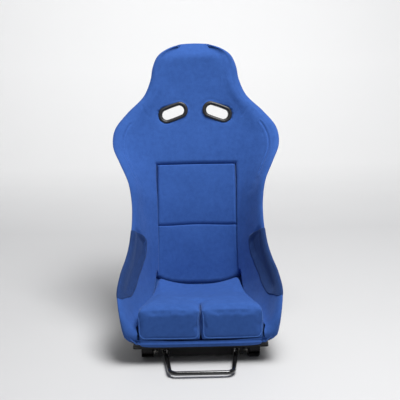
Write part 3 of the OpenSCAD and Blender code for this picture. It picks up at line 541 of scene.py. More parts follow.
def make_cover():
    """The one-piece cover: its face, the edge turned over the shell's rim, and its back."""
    u = cover_rows()
    s, edge = cover_columns(u)
    rows, cols = s.shape
    line = np.repeat(u[:, None], cols, 1)
    uu = line + seam_rise(line) * (1 - np.clip(s / edge, -1, 1) ** 2)
    depth = cover_depth(uu, s, edge, line)
    g = kept_beside(padded_form(uu, s, depth), uu, s, edge)
    # cloth stretched over foam is never quite even
    wave = 0.55 * wrinkle_field(g, 3, 150) + 0.25 * wrinkle_field(g, 5, 60)
    push = wave * smooth((depth - FLOOR_T) / 6) * smooth((1 - np.abs(s)) / 0.06) + seam_push(g)
    g = g + grid_normals(g) * push[..., None]
    g = pressed_by_bezels(g, (g[..., 1] > 150) & (depth > 20))
    ring = boundary(rows, cols)
    ru, rs = uu.ravel()[ring], s.ravel()[ring]
    rim = form(ru, rs)
    rim, out, into = rim_frame(ru, rs, np.roll(rim, -2, 0) - np.roll(rim, 2, 0))
    out, into = eased(out, rim, 13), eased(into, rim, 13)
    g = eased_outward(g, uu, s, ring, out)
    # the turned edge is shorter round the two lower corners, where it would bunch up
    corner_at = [int(np.argmin(np.abs(ru - cu) + np.abs(rs - cs))) for cu in (0, TOP) for cs in (-1, 1)]
    to_corner = np.min([np.linalg.norm(rim - rim[k], axis=-1) for k in corner_at[:2]], axis=0)
    turned = (1 - 0.65 * np.exp(-(to_corner / 24) ** 2))[:, None]
    rings = [rim + out * (e if e > 0 else e * turned) + into * n for e, n in RIM_PROFILE]
    back = form(np.clip(uu, 0.35, TOP - 0.3), s * 0.982, 5.1)
    points = [g.reshape(-1, 3)] + rings + [back.reshape(-1, 3)]
    face_uv = arc_uv(g).reshape(-1, 2)
    way = face_uv[ring] - face_uv[ring].mean(0)
    way *= 0.0018 / (size_of(way) + 1e-9)
    uv = [face_uv] + [face_uv[ring] + way * (k + 1) for k in range(len(rings))] + [face_uv]
    # openings for the harness slots: the same cells are left out of the front and the back
    centre = (g[:-1, :-1] + g[1:, 1:]) / 2
    facing = (depth[:-1, :-1] > 20) & (centre[..., 1] > 150)
    skip = facing & np.any([slot_distance(to_slot(centre, side), SLOT_LEN + 10, SLOT_H + 10) < 0
                            for side in (-1, 1)], axis=0)
    n_front, n_ring = rows * cols, len(ring)
    first_back = n_front + len(rings) * n_ring
    ids = [ring] + [n_front + k * n_ring + np.arange(n_ring) for k in range(len(rings))]
    ids.append(first_back + ring)
    faces = [grid_faces(rows, cols, 0, False, skip)]
    faces += [strip_faces(upper, lower) for lower, upper in zip(ids, ids[1:])]
    faces += [grid_faces(rows, cols, first_back, True, skip), opening_walls(skip, cols, first_back)]
    obj = mesh_object("seat_cover", np.concatenate(points), np.concatenate(faces), np.concatenate(uv))
    soften_corners(obj, rim[corner_at], 17, 90)
    # the head's front face is evened out further, up to the top of the turned edge
    soften_corners(obj, rim[corner_at[2:]], 27, 45, n_front + 2 * n_ring)
    drop_loose(obj)
    return obj


def soften_corners(obj, centres, reach, turns, only=None):
    """Evens out the cloth round the corners of its rim; only that many of its first points, where
    a number is given."""
    co = coordinates(obj) * 1000
    pairs = np.empty(len(obj.data.edges) * 2, int)
    obj.data.edges.foreach_get("vertices", pairs)
    pairs = pairs.reshape(-1, 2)
    away = np.min([np.linalg.norm(co - c, axis=-1) for c in centres], axis=0)
    share = np.exp(-(away / reach) ** 2)
    pairs = pairs[(away[pairs] < 2.6 * reach).all(1)]
    both = np.concatenate([pairs, pairs[:, ::-1]])
    count = np.maximum(np.bincount(both[:, 0], minlength=len(co)), 1)
    moved = away < 2.3 * reach
    if only is not None:
        moved[only:] = False
    for turn in range(turns):
        total = [np.bincount(both[:, 0], co[both[:, 1], k], len(co)) for k in range(3)]
        mean = np.stack(total, -1) / count[:, None]
        # every second pass pushes back out, so that the corner keeps its size
        step = -0.49 if turn % 2 and only is None else 0.5
        co[moved] += step * share[moved, None] * (mean - co)[moved]
    set_coordinates(obj, co / 1000)


def drop_loose(obj):
    """Drops points without a face, and turns all faces outward."""
    bm = bmesh.new()
    bm.from_mesh(obj.data)
    bmesh.ops.delete(bm, geom=[v for v in bm.verts if not v.link_faces], context="VERTS")
    bmesh.ops.recalc_face_normals(bm, faces=bm.faces)
    bm.to_mesh(obj.data)
    bm.free()


def closed_grid(name, back, front):
    """A closed piece between two grids of points; both have the same rows and columns."""
    rows, cols = front.shape[:2]
    n = rows * cols
    ring = boundary(rows, cols)
    uv = arc_uv(front).reshape(-1, 2)
    faces = [grid_faces(rows, cols), grid_faces(rows, cols, n, True), strip_faces(ring + n, ring)]
    obj = mesh_object(name, np.concatenate([front.reshape(-1, 3), back.reshape(-1, 3)]),
                      np.concatenate(faces), np.concatenate([uv, uv]))
    drop_loose(obj)
    return obj


def prism(name, low, high):
    """A closed piece between two outlines with the same number of points."""
    n = len(low)
    ring = np.arange(n)
    faces = [ring[::-1], ring + n, *strip_faces(ring, ring + n)]
    obj = mesh_object(name, np.concatenate([low, high]), faces)
    drop_loose(obj)
    return obj


def carve(obj, cutters):
    """Lets the cutters' shapes be taken out of a piece when its modifiers are applied."""
    for c in cutters:
        cut = obj.modifiers.new("cut", "BOOLEAN")
        cut.operation = "DIFFERENCE"
        cut.solver = "EXACT"
        cut.object = c


# ---- back inserts --------------------------------------------------------------------------------
def make_insert(name, u0, u1, seed):
    """A back insert between two rows: crowned, with rounded edges."""
    v, h = bunched(76), bunched(84)
    u = (u0 + u1) / 2 + v * (u1 - u0) / 2
    edge = seam_line(u) - 0.0085
    uu = u[:, None] + seam_rise(u)[:, None] * (1 - h[None, :] ** 2)
    s = h[None, :] * edge[:, None]
    beside = (1 - np.abs(h))[None, :] * edge[:, None] * ACROSS_MM
    above = ((1 - np.abs(v)) * (u1 - u0) / 2 * 98)[:, None]
    radius = 9.0
    corner = np.hypot(np.maximum(radius - beside, 0), np.maximum(radius - above, 0))
    crown = 4.0 * (1 - np.abs(h)[None, :] ** 2.4) * (1 - np.abs(v)[:, None] ** 2.4)
    rise = 6.0 * np.abs(h)[None, :] ** 2
    depth = row(uu)[..., 7] - 4 + crown + rise - rounding(radius - corner, radius)
    uneven = 0.5 * wrinkle_field(form(uu, s), seed, 110) * smooth(beside / 20) * smooth(above / 20)
    # the low end of the lower insert goes down behind the cushion
    depth = np.maximum(depth + uneven, FLOOR_T + 1.0)
    return closed_grid(name, form(uu, s, FLOOR_T + 0.1), form(uu, s, depth))


# ---- seat cushion --------------------------------------------------------------------------------
FRONT_Y, REAR_Y = -244.0, 119.0


def cushion_half(y):
    """Half of the cushion's width at that place from front to rear."""
    at = form(np.array(CUSHION_U, float), 0 * np.array(CUSHION_U, float))[:, 1]
    return np.interp(y, at, CUSHION_X)


def cushion_top(x, y):
    """Height of the cushion's top: dished at the rear, raised under the thighs."""
    share = np.abs(x) / cushion_half(y)
    along = np.interp(y, [-240, -215, -180, -120, -60, 0, 60, 120],
                      [189, 191, 189, 182.5, 174, 163.5, 155, 150])
    rear = smooth((y + 60) / 150)
    hollow = 5 * np.exp(-(share / 0.45) ** 2) * smooth((y + 150) / 90) * (1 - 0.5 * rear)
    dish = 26 * share ** 2.5 * rear - hollow
    lobe = 3.5 * np.exp(-((share - 0.5) / 0.33) ** 2) * smooth((-60 - y) / 70)
    return along + dish + lobe


def pan_under(a, ys, half):
    """Height of the pan's covered face under each point of the cushion's grid."""
    u = np.linspace(0.55, 7.0, 160)
    wide = np.interp(form(u, 0 * u)[:, 1], ys[::-1], half[::-1])
    floor = []
    for share in np.abs(a):
        q = form(u, place_across(u, share * wide, 0), FLOOR_T + 0.8)
        floor.append(np.interp(ys, q[:, 1], q[:, 2]))
    return np.stack(floor, -1)


def make_cushion():
    """The cushion's skin: a closed block with rounded edges and a split front, remeshed evenly."""
    ys = np.concatenate([np.linspace(REAR_Y, -226, 58), [-232, -237, -241.5]])
    a = bunched(61)
    half = cushion_half(ys) - np.interp(ys, [-244, -190, -150], [0.3, 0.3, 1.5])
    x = half[:, None] * a[None, :]
    y = np.repeat(ys[:, None], len(a), 1)
    floor = np.maximum(pan_under(a, ys, half), 64)
    floor = np.where(y < -205, np.maximum(floor, 90 - (y + 244) * 0.55), floor)
    # rounded edges all round the top, and a valley that runs out to the rear of the split
    side = (1 - np.abs(a))[None, :] * half[:, None]
    roll = np.minimum(np.hypot(rounding(side, 14.0), rounding(y - FRONT_Y, 11.0)), 40)
    valley = 7 * np.exp(-(x / 8) ** 2) * smooth((-135 - y) / 34)
    top = np.maximum(floor + 8, cushion_top(x, y) - roll - rounding(REAR_Y - y, 8) - valley)
    low = np.stack([x, y, floor], -1)
    high = np.stack([x, y, top], -1)
    obj = closed_grid("seat_cushion_skin", low[::-1], high[::-1])
    # the split between the thigh lobes, narrow at its rear end
    outline = [(-0.8, -158), (-4.4, -176), (-4.8, -262), (4.8, -262), (4.4, -176), (0.8, -158)]
    cutter = prism("cushion_cut", *([(px, py, z) for px, py in outline] for z in (78, 230)))
    carve(obj, [cutter])
    even = obj.modifiers.new("even", "REMESH")
    even.mode = "VOXEL"
    even.voxel_size = 0.0042
    apply_to(obj, [cutter])
    relax = obj.modifiers.new("relax", "SMOOTH")
    relax.factor = 0.5
    relax.iterations = 3
    apply_to(obj)
    # draw the two lobes together, so that only a narrow slit is left
    co = coordinates(obj)
    reach = np.abs(co[:, 0]) * 1000
    by_slit = smooth((-0.150 - co[:, 1]) / 0.02) * np.exp(-(reach / 26) ** 2)
    co[:, 0] -= np.sign(co[:, 0]) * 0.0022 * by_slit * smooth((reach - 1.0) / 2)
    set_coordinates(obj, co)
    return obj


def apply_to(obj, spent=()):
    """Applies a piece's modifiers to its mesh, and removes the spent cutters."""
    graph = bpy.context.evaluated_depsgraph_get()
    mesh = bpy.data.meshes.new_from_object(obj.evaluated_get(graph), depsgraph=graph)
    obj.modifiers.clear()
    old = obj.data
    obj.data = mesh
    bpy.data.meshes.remove(old)
    mesh.name = obj.name
    for cutter in spent:
        bpy.data.objects.remove(cutter)


def coordinates(obj):
    """The points of a piece, in metres."""
    co = np.empty(len(obj.data.vertices) * 3)
    obj.data.vertices.foreach_get("co", co)
    return co.reshape(-1, 3)


def set_coordinates(obj, co):
    """Moves the points of a piece to these places, in metres."""
    obj.data.vertices.foreach_set("co", np.ascontiguousarray(co).ravel())
    obj.data.update()


def puff(obj, pressure, held, most, frames=20):
    """A short cloth simulation: the skin fills out under pressure, by no more than most
    millimetres, and the held points stay."""
    before = coordinates(obj)
    group = obj.vertex_groups.new(name="held")
    group.add([int(i) for i in np.nonzero(held)[0]], 1.0, "REPLACE")
    cloth = obj.modifiers.new("cloth", "CLOTH")
    c = cloth.settings
    c.quality = 4
    c.mass = 0.15
    c.tension_stiffness = 12
    c.compression_stiffness = 12
    c.shear_stiffness = 6
    c.bending_stiffness = 0.6
    c.use_pressure = True
    c.uniform_pressure_force = pressure
    c.vertex_group_mass = "held"
    c.effector_weights.gravity = 0
    cloth.collision_settings.use_collision = False
    cloth.point_cache.frame_start = 1
    cloth.point_cache.frame_end = frames
    scene = bpy.context.scene
    for f in range(1, frames + 1):
        scene.frame_set(f)
    apply_to(obj)
    scene.frame_set(1)
    move = coordinates(obj) - before
    far = size_of(move)
    move *= np.minimum(far, most / 1000) / np.maximum(far, 1e-9)
    set_coordinates(obj, before + move)
    obj.vertex_groups.clear()


def box_uv(obj):
    """Texture coordinates in metres from the side that each face looks to."""
    mesh = obj.data
    index = np.empty(len(mesh.loops), int)
    mesh.loops.foreach_get("vertex_index", index)
    normal = np.empty(len(mesh.polygons) * 3)
    mesh.polygons.foreach_get("normal", normal)
    total = np.empty(len(mesh.polygons), int)
    mesh.polygons.foreach_get("loop_total", total)
    facing = np.abs(np.repeat(normal.reshape(-1, 3), total, 0))
    p = coordinates(obj)[index]
    top = facing[:, 2] > 0.62
    front = facing[:, 1] > facing[:, 0]
    uv = np.where(top[:, None], p[:, [0, 1]], np.where(front[:, None], p[:, [0, 2]], p[:, [1, 2]]))
    mesh.uv_layers.new(name="cloth").data.foreach_set("uv", uv.ravel())


def surface_of(obj):
    """A tree of a piece's faces, to find the nearest place on it."""
    graph = bpy.context.evaluated_depsgraph_get()
    return bvhtree.BVHTree.FromObject(obj, graph)


def laid_on(tree, points, lift):
    """Points in millimetres moved to the nearest place on a surface, and its normals."""
    out, normals = [], []
    for p in points:
        place, normal, _, _ = tree.find_nearest(Vector(p) / 1000)
        out.append(np.array(place) * 1000 + np.array(normal) * lift)
        normals.append(np.array(normal))
    return np.array(out), np.array(normals)


def cushion_welts(cushion):
    """Piping round the front face of each thigh lobe."""
    tree = surface_of(cushion)
    inner, outer, low, high = 7.0, 193.5, 94.0, 183.0
    knots = [[inner + 1, -236, high], [inner, -242, high - 14], [inner, -244, 150], [inner, -244, 120],
             [inner + 1, -244, low + 9], [inner + 10, -244, low - 1],
             *([x, -244, low - 2] for x in (40, 80, 120)), [160, -244, low - 1],
             [outer - 14, -242, low], [outer - 1, -240, low + 12], [outer + 2, -240, 130],
             [outer + 1, -238, 155], [outer - 3, -232, high - 10]]
    out = []
    for side, name in SIDES:
        line, _ = laid_on(tree, resample(curve_through(np.array(knots) * [side, 1, 1]), 4), 0.5)
        for _ in range(4):
            line[1:-1] = (line[:-2] + 2 * line[1:-1] + line[2:]) / 4
        # the piping thins out over its first and last six points
        radius = np.full(len(line), 1.7)
        radius[:6] = np.linspace(0.3, 1.7, 6)
        radius[-6:] = np.linspace(1.7, 0.3, 6)
        out.append(tube("cushion_welt_" + name, line, radius, 8))
    return out


# ---- hip patches ---------------------------------------------------------------------------------
def top_drop(g):
    """How far the patch's top edge falls between its inner end (0) and the rim (1), in rows."""
    line = PATCH_LINE[:PATCH_TIP + 1][::-1]
    share = (line[:, 1] - line[0, 1]) / (1 - line[0, 1])
    return np.interp(g, share, line[0, 0] - line[:, 0])


def patch_grid(side, tree):
    """The patch lies on the cover from its inner edge to the rim, and turns round the rim."""
    low_u, high_u = 2.81, 7.87
    even = np.linspace(0, 1, 110)[:, None]
    climb = smooth(even) * 0.25 + even * 0.75
    u = low_u + (high_u - low_u) * climb
    inner = patch_inner(u)
    stop = math.radians(89)
    start = np.arcsin(np.clip((inner - ROUND_FROM) / (1 - ROUND_FROM), 0, 1))
    start = np.minimum(start, stop - 0.01)
    turn = start + (stop - start) * np.linspace(0, 1, 44)
    s = ROUND_FROM + (1 - ROUND_FROM) * np.sin(turn)
    share = (s - inner) / (1 - inner + 1e-9)
    uu = u - top_drop(share) * climb ** 2
    p = cover_point(uu, side * s)
    # turned round the rim, outside the cover's own edge
    end_u = uu[:, -1]
    rim, out, into = rim_frame(end_u, 0 * end_u + side)
    p = p + RIM_EASE * smooth((s - 0.9) / 0.1)[..., None] * out[:, None]
    p = np.concatenate([p] + [(rim + out * e + into * n)[:, None] for e, n in RIM_PROFILE[:6]], 1)
    flat, n = laid_on(tree, p.reshape(-1, 3), 0.0)
    return flat.reshape(p.shape), n.reshape(p.shape)


def make_patch(side, name, tree):
    """A suede patch over the hip, laid on the cover."""
    p, n = patch_grid(side, tree)
    # the edge is turned under, so it thins out over its last millimetres
    rows, cols = p.shape[:2]
    i = np.minimum(np.arange(rows), rows - 1 - np.arange(rows))[:, None] / 4
    j = np.minimum(np.arange(cols), 1.5 * (cols - 1 - np.arange(cols)))[None, :] / 2.2
    lift = 0.35 + 1.25 * np.sqrt(np.clip(np.minimum(i, 1) * np.minimum(j, 1), 0, 1))
    front = p + n * lift[..., None]
    back = p - n * 0.6
    if side < 0:
        front, back = front[:, ::-1], back[:, ::-1]
    return closed_grid(name, back, front)


STITCH_STEP = 4.6


def stitch_mesh(name, lines, length=3.4, radius=0.55):
    """Short thread capsules along lines; each line is (points, normals)."""
    sides = 6
    # share of the length and of the radius
    section = [(-0.5, 0.25), (-0.36, 0.9), (0.0, 1.0), (0.36, 0.9), (0.5, 0.25)]
    turn = np.linspace(0, 2 * math.pi, sides, endpoint=False)[:, None]
    index = np.arange(sides * len(section)).reshape(-1, sides)
    walls = np.concatenate([strip_faces(a, b) for a, b in zip(index, index[1:])])
    rings, faces = [], []
    for line, normal in lines:
        for start, end, out in zip(line, line[1:], normal):
            ahead = (end - start) / (np.linalg.norm(end - start) + 1e-9)
            up = out - ahead * (out @ ahead)
            up /= np.linalg.norm(up) + 1e-9
            round_it = np.cross(ahead, up) * np.cos(turn) + up * np.sin(turn)
            faces += [f + sides * len(rings) for f in (*walls, index[0][::-1], index[-1])]
            for at, share in section:
                # the thread's ends dip into the cloth
                middle = (start + end) / 2 + ahead * at * length - up * 1.4 * at ** 2
                rings.append(middle + round_it * radius * share)
    obj = mesh_object(name, np.concatenate(rings), faces)
    drop_loose(obj)
    return obj


def patch_stitches(side, cover_tree):
    """Two rows of top stitching just inside the patch's inner and top edges."""
    lines = []
    metric = np.array([ROW_MM, ACROSS_MM])
    way = np.gradient(PATCH_LINE, axis=0) * metric
    inward = np.stack([-way[:, 1], way[:, 0]], -1) / size_of(way)
    to_middle = ([5.6, 0.97] - PATCH_LINE) * metric
    inward *= np.sign(np.sum(inward * to_middle, -1))[:, None]
    for inset in (3.0, 6.5):
        moved = PATCH_LINE + inward * inset / metric
        moved = moved[(PATCH_LINE[:, 1] < 0.985) & (moved[:, 1] < 0.99)]
        p = resample(cover_point(moved[:, 0], side * moved[:, 1]), STITCH_STEP)
        lines.append(laid_on(cover_tree, p, 0.45))
    return lines


def wing_stitches(side, cover_tree):
    """A row of top stitching beside the seam of the shoulder wing."""
    return [laid_on(cover_tree, seam_on_cover(WING_SEAM, side, 0.012, STITCH_STEP), 0.2)]


# ---- shell and towel bar -------------------------------------------------------------------------
def make_shell():
    """The moulded shell's skin, with holes for the harness slots and the bolts."""
    u = np.linspace(0.05, TOP - 0.06, 230)
    uu, ss = np.meshgrid(u, 0.996 * bunched(121, 0.35), indexing="ij")
    ss = ss * (1 - 0.10 * smooth((uu - 19.2) / 0.8) - 0.03 * smooth((0.5 - uu) / 0.5))
    # it stops short of the rim's corners, most at the lower two, where the cloth is drawn in tighter
    place = form(uu, ss)
    away = {(end, side): np.linalg.norm(place - form(end, side), axis=-1)
            for end in (0, TOP) for side in (-1, 1)}
    for (end, _), far in away.items():
        share = np.exp(-(far / 32) ** 2)
        uu = uu + (-0.08 if end else 0.30) * share
        ss = ss * (1 - (0.03 if end else 0.09) * share)
    # and it thins out from inside at the upper two
    top_corner = np.minimum(away[TOP, -1], away[TOP, 1])
    inner = form(uu, ss, SHELL_T - 3.6 * np.exp(-(top_corner / 34) ** 2))
    shell = closed_grid("shell_skin", form(uu, ss), inner)
    turn = np.linspace(0, 2 * math.pi, 48, endpoint=False)
    length, height = SLOT_LEN + 7, SLOT_H + 7
    x = np.sign(np.cos(turn)) * (length - height) / 2 + height / 2 * np.cos(turn)
    y = height / 2 * np.sin(turn)
    cutters = [prism("slot_cut", *(from_slot(np.stack([x, y, 0 * x + z], -1), side) for z in (-60, 20)))
               for side in (-1, 1)]
    turn = np.linspace(0, 2 * math.pi, 24, endpoint=False)
    for bx, by in BOLTS:
        ring = np.stack([bx + 4.5 * np.cos(turn), by + 4.5 * np.sin(turn), 0 * turn], -1)
        cutters.append(prism("bolt_cut", ring + [0, 0, 40], ring + [0, 0, 110]))
    carve(shell, cutters)
    apply_to(shell, cutters)
    return shell


def make_bezel(side, name):
    """The moulded surround of a harness slot: a sleeve, a chamfer round the opening, a soft crest."""
    # share of the way from the opening's outline to the flange's, and height
    section = [[0, -41], [0, -20], [0, -3], [0.02, -0.6], [0.10, 1.4], [0.24, 3.4], [0.34, 4.5], [0.44, 5.0],
               [0.56, 5.1], [0.68, 4.8], [0.80, 4.1], [0.90, 3.0], [0.97, 1.7], [1.0, 0.4], [1.0, -0.9],
               [0.97, -1.0], [0.22, -1.0], [0.19, -1.2], [0.19, -20], [0.19, -41]]
    turn = np.linspace(0, 2 * math.pi, 96, endpoint=False)
    # the ends' turn is spread out, so that the straight stretches get points too
    turn = turn + 0.18 * np.sin(2 * turn)
    rings = []
    for share, z in section:
        length = SLOT_LEN + (FLANGE_LEN - SLOT_LEN) * share
        height = SLOT_H + (FLANGE_H - SLOT_H) * share
        c, w = np.cos(turn), (length - height) / 2
        x = np.clip(3.0 * c, -1, 1) * w + height / 2 * c
        y = height / 2 * np.sin(turn)
        rings.append(from_slot(np.stack([x, y, 0 * x + z], -1), side))
    index = np.arange(len(turn) * len(rings)).reshape(len(rings), -1)
    faces = np.concatenate([strip_faces(a, b) for a, b in zip(index, np.roll(index, -1, 0))])
    obj = mesh_object(name, np.concatenate(rings), faces)
    drop_loose(obj)
    return obj


BAR_R, BAR_FRONT, BAR_HALF, CORNER_R = 7, 335, 100, 24
PIVOT_Y, BAR_END_Z, BAR_DROP, LEVER_X, EASE_R = -152, 19.5, 1.1, 124, 60


def make_towel_bar():
    """The bent bar from lever to lever, eased into both ends."""
    grip_y = -(BAR_FRONT + PIVOT_Y - 2)
    corner = np.array([BAR_HALF - CORNER_R, grip_y + CORNER_R])
    ease = np.array([LEVER_X - BAR_R - EASE_R, 0.0])
    apart = ease - corner
    leg = math.acos((CORNER_R - EASE_R) / np.linalg.norm(apart)) - math.atan2(apart[1], apart[0])

    def arc(centre, radius, a0, a1, parts):
        t = np.linspace(a0, a1, parts)
        return np.stack([centre[0] + radius * np.cos(t), centre[1] + radius * np.sin(t), 0 * t], -1)
    right = np.concatenate([arc(corner, CORNER_R, -math.pi / 2, -leg, 26), arc(ease, EASE_R, -leg, 0, 12),
                            [[LEVER_X - BAR_R, y, 0] for y in (8, 16, 24, 28.6, 29.6, 30)]])
    line = np.concatenate([right[::-1] * [-1, 1, 1], right])
    radius = np.full(len(line), float(BAR_R))
    for k, r in ((0, 5.9), (1, 6.7)):
        radius[k] = radius[-1 - k] = r
    drop = math.radians(BAR_DROP)
    turned = np.stack([line[:, 0], line[:, 1] * math.cos(drop) - line[:, 2] * math.sin(drop),
                       line[:, 1] * math.sin(drop) + line[:, 2] * math.cos(drop)], -1)
    return tube("towel_bar_tube", turned + [0, PIVOT_Y - 2, BAR_END_Z], radius, 28)


# ---- materials -----------------------------------------------------------------------------------
def material(name):
    """A new material with its nodes, links and main shader."""
    m = bpy.data.materials.new(name)
    m.use_nodes = True
    nodes, links = m.node_tree.nodes, m.node_tree.links
    return m, nodes, links, nodes["Principled BSDF"]


def ramp(nodes, stops):
    """A colour ramp from (place, colour) stops."""
    r = nodes.new("ShaderNodeValToRGB")
    r.color_ramp.elements[0].position, r.color_ramp.elements[0].color = stops[0][0], (*stops[0][1], 1)
    r.color_ramp.elements[1].position, r.color_ramp.elements[1].color = stops[-1][0], (*stops[-1][1], 1)
    for at, colour in stops[1:-1]:
        e = r.color_ramp.elements.new(at)
        e.color = (*colour, 1)
    return r


def noise(nodes, links, vector, scale, detail, rough):
    """The grey value of a noise texture."""
    n = nodes.new("ShaderNodeTexNoise")
    n.inputs["Scale"].default_value = scale
    n.inputs["Detail"].default_value = detail
    n.inputs["Roughness"].default_value = rough
    links.new(vector, n.inputs["Vector"])
    return n.outputs["Fac"]


def maths(nodes, links, kind, a, b):
    """A sum or product of two sockets or numbers."""
    m = nodes.new("ShaderNodeMath")
    m.operation = kind
    for socket, v in zip(m.inputs, (a, b)):
        if hasattr(v, "links"):
            links.new(v, socket)
        else:
            socket.default_value = v
    return m.outputs[0]


def weighted(nodes, links, *parts):
    """The sum of sockets, each times its weight."""
    out = None
    for socket, weight in parts:
        part = maths(nodes, links, "MULTIPLY", socket, weight)
        out = part if out is None else maths(nodes, links, "ADD", out, part)
    return out


def set_inputs(bsdf, **values):
    """Sets shader inputs; an underscore stands for the space in a name."""
    for name, value in values.items():
        bsdf.inputs[name.replace("_", " ")].default_value = value


def rough_between(nodes, links, bsdf, socket, low, high):
    """Lets the roughness follow a socket from low to high."""
    spread = nodes.new("ShaderNodeMapRange")
    set_inputs(spread, To_Min=low, To_Max=high)
    links.new(socket, spread.inputs["Value"])
    links.new(spread.outputs["Result"], bsdf.inputs["Roughness"])


def bumped(nodes, links, bsdf, socket, strength, distance):
    """Lets the shading follow a socket's relief."""
    bump = nodes.new("ShaderNodeBump")
    set_inputs(bump, Strength=strength, Distance=distance)
    links.new(socket, bump.inputs["Height"])
    links.new(bump.outputs["Normal"], bsdf.inputs["Normal"])


def cloth_material(name, dark, base, light, pitch, nap, sheen, tint):
    """Brushed knit cloth: fine loops at the given pitch in metres under a soft uneven nap."""
    m, nodes, links, bsdf = material(name)
    place = nodes.new("ShaderNodeTexCoord")
    solid, flat = place.outputs["Object"], place.outputs["UV"]
    patches = noise(nodes, links, solid, 9.0, 3, 0.5)
    brush = noise(nodes, links, solid, 70.0, 4, 0.6)
    fuzz = noise(nodes, links, solid, 900.0, 3, 0.7)
    waves = []
    for direction, rate in (("X", 1.0), ("Y", 1.25)):
        w = nodes.new("ShaderNodeTexWave")
        w.wave_type, w.bands_direction = "BANDS", direction
        set_inputs(w, Scale=rate * 0.314 / pitch, Distortion=0.6, Detail=1.0, Detail_Scale=2.0)
        links.new(flat, w.inputs["Vector"])
        waves.append(w.outputs["Fac"])
    knit = maths(nodes, links, "MULTIPLY", *waves)
    tone = weighted(nodes, links, (patches, 0.16), (brush, 0.30), (fuzz, 0.16), (knit, 0.12))
    colours = ramp(nodes, [(0.22, dark), (0.335, base), (0.50, light)])
    links.new(tone, colours.inputs["Fac"])
    links.new(colours.outputs["Color"], bsdf.inputs["Base Color"])
    rough_between(nodes, links, bsdf, brush, 0.78, 0.95)
    set_inputs(bsdf, Specular_IOR_Level=0.18, Sheen_Weight=sheen, Sheen_Roughness=0.42,
               Sheen_Tint=(*tint, 1))
    height = weighted(nodes, links, (knit, 0.55), (fuzz, nap), (brush, nap * 2))
    bumped(nodes, links, bsdf, height, 0.5, 0.0006)
    return m


def hard_material(name, dark, light, metal, rough, grain, scale, depth, coat=0.0, edge=None, shine=0.5):
    """Paint, plastic or plating: fine grain, slow variation, and paler worn edges when given."""
    m, nodes, links, bsdf = material(name)
    solid = nodes.new("ShaderNodeTexCoord").outputs["Object"]
    slow = noise(nodes, links, solid, 22.0, 5, 0.6)
    fine = noise(nodes, links, solid, scale, 3, 0.6)
    mix = weighted(nodes, links, (slow, 0.6), (fine, 0.4))
    colours = ramp(nodes, [(0.35, dark), (0.68, light)])
    links.new(mix, colours.inputs["Fac"])
    colour = colours.outputs["Color"]
    if edge is not None:
        geometry = nodes.new("ShaderNodeNewGeometry")
        worn = ramp(nodes, [(0.53, (0, 0, 0)), (0.60, (1, 1, 1))])
        links.new(geometry.outputs["Pointiness"], worn.inputs["Fac"])
        blend = nodes.new("ShaderNodeMixRGB")
        links.new(maths(nodes, links, "MULTIPLY", worn.outputs["Color"], slow), blend.inputs["Fac"])
        links.new(colour, blend.inputs["Color1"])
        set_inputs(blend, Color2=(*edge, 1))
        colour = blend.outputs["Color"]
    links.new(colour, bsdf.inputs["Base Color"])
    rough_between(nodes, links, bsdf, mix, rough - grain, rough + grain)
    set_inputs(bsdf, Metallic=metal, Specular_IOR_Level=shine)
    if coat:
        set_inputs(bsdf, Coat_Weight=coat, Coat_Roughness=0.12)
    bumped(nodes, links, bsdf, fine, 0.35, depth)
    return m


FABRIC = cloth_material("fabric_blue", (0.022, 0.072, 0.268), (0.030, 0.091, 0.324), (0.040, 0.114, 0.386),
                        0.0016, 0.30, 0.22, (0.38, 0.56, 0.95))
SUEDE = cloth_material("suede_blue", (0.010, 0.030, 0.110), (0.014, 0.040, 0.140), (0.020, 0.054, 0.180),
                       0.0009, 0.60, 0.20, (0.32, 0.48, 0.85))
# the piping's cloth is a lighter blue than the cover's: a painted highlight along the piping
PIPING_PAINTED_HIGHLIGHT = cloth_material("welt_blue_painted_highlight", (0.045, 0.125, 0.40), (0.06, 0.155, 0.47), (0.08, 0.19, 0.54),
                      0.0012, 0.25, 0.35, (0.38, 0.56, 0.95))
THREAD = cloth_material("thread_blue", (0.03, 0.10, 0.38), (0.05, 0.15, 0.50), (0.08, 0.20, 0.60),
                        0.0005, 0.20, 0.3, (0.5, 0.7, 1.0))
SHELL = hard_material("shell_black", (0.010, 0.010, 0.011), (0.022, 0.022, 0.024), 0.0, 0.34, 0.08,
                      420, 0.0004, coat=0.35)
PLASTIC = hard_material("plastic_black", (0.010, 0.010, 0.011), (0.026, 0.026, 0.028), 0.0, 0.42, 0.08,
                        1400, 0.0002, edge=(0.07, 0.07, 0.075))
STEEL = hard_material("steel_black", (0.003, 0.003, 0.0032), (0.007, 0.007, 0.0075), 0.0, 0.55, 0.08,
                      900, 0.0003, edge=(0.03, 0.03, 0.032), shine=0.22)
BAR = hard_material("bar_black", (0.004, 0.004, 0.0045), (0.011, 0.011, 0.012), 0.0, 0.18, 0.05,
                    700, 0.0001, coat=0.8)
ZINC = hard_material("zinc", (0.42, 0.41, 0.38), (0.66, 0.65, 0.62), 1.0, 0.32, 0.10, 600, 0.0002)


def dress(obj, m, body):
    """Gives a piece its material and its body."""
    obj.data.materials.clear()
    obj.data.materials.append(m)
    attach(obj, body)


# ---- build ---------------------------------------------------------------------------------------
cover = make_cover()
dress(cover, FABRIC, "seat")
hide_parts("upper_back_pad", "side_bolster_left", "side_bolster_right", "shell_edge_trim",
            "pan_liner")

for piece_name, node, low_u, high_u, seed in (
        ("insert_lower", "back_insert_lower", INSERT_LOW, INSERT_SPLIT - 0.006, 21),
        ("insert_upper", "back_insert_upper", INSERT_SPLIT + 0.006, INSERT_TOP - 0.01, 22)):
    panel = make_insert(piece_name, low_u, high_u, seed)
    dress(panel, FABRIC, "seat")
    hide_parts(node)

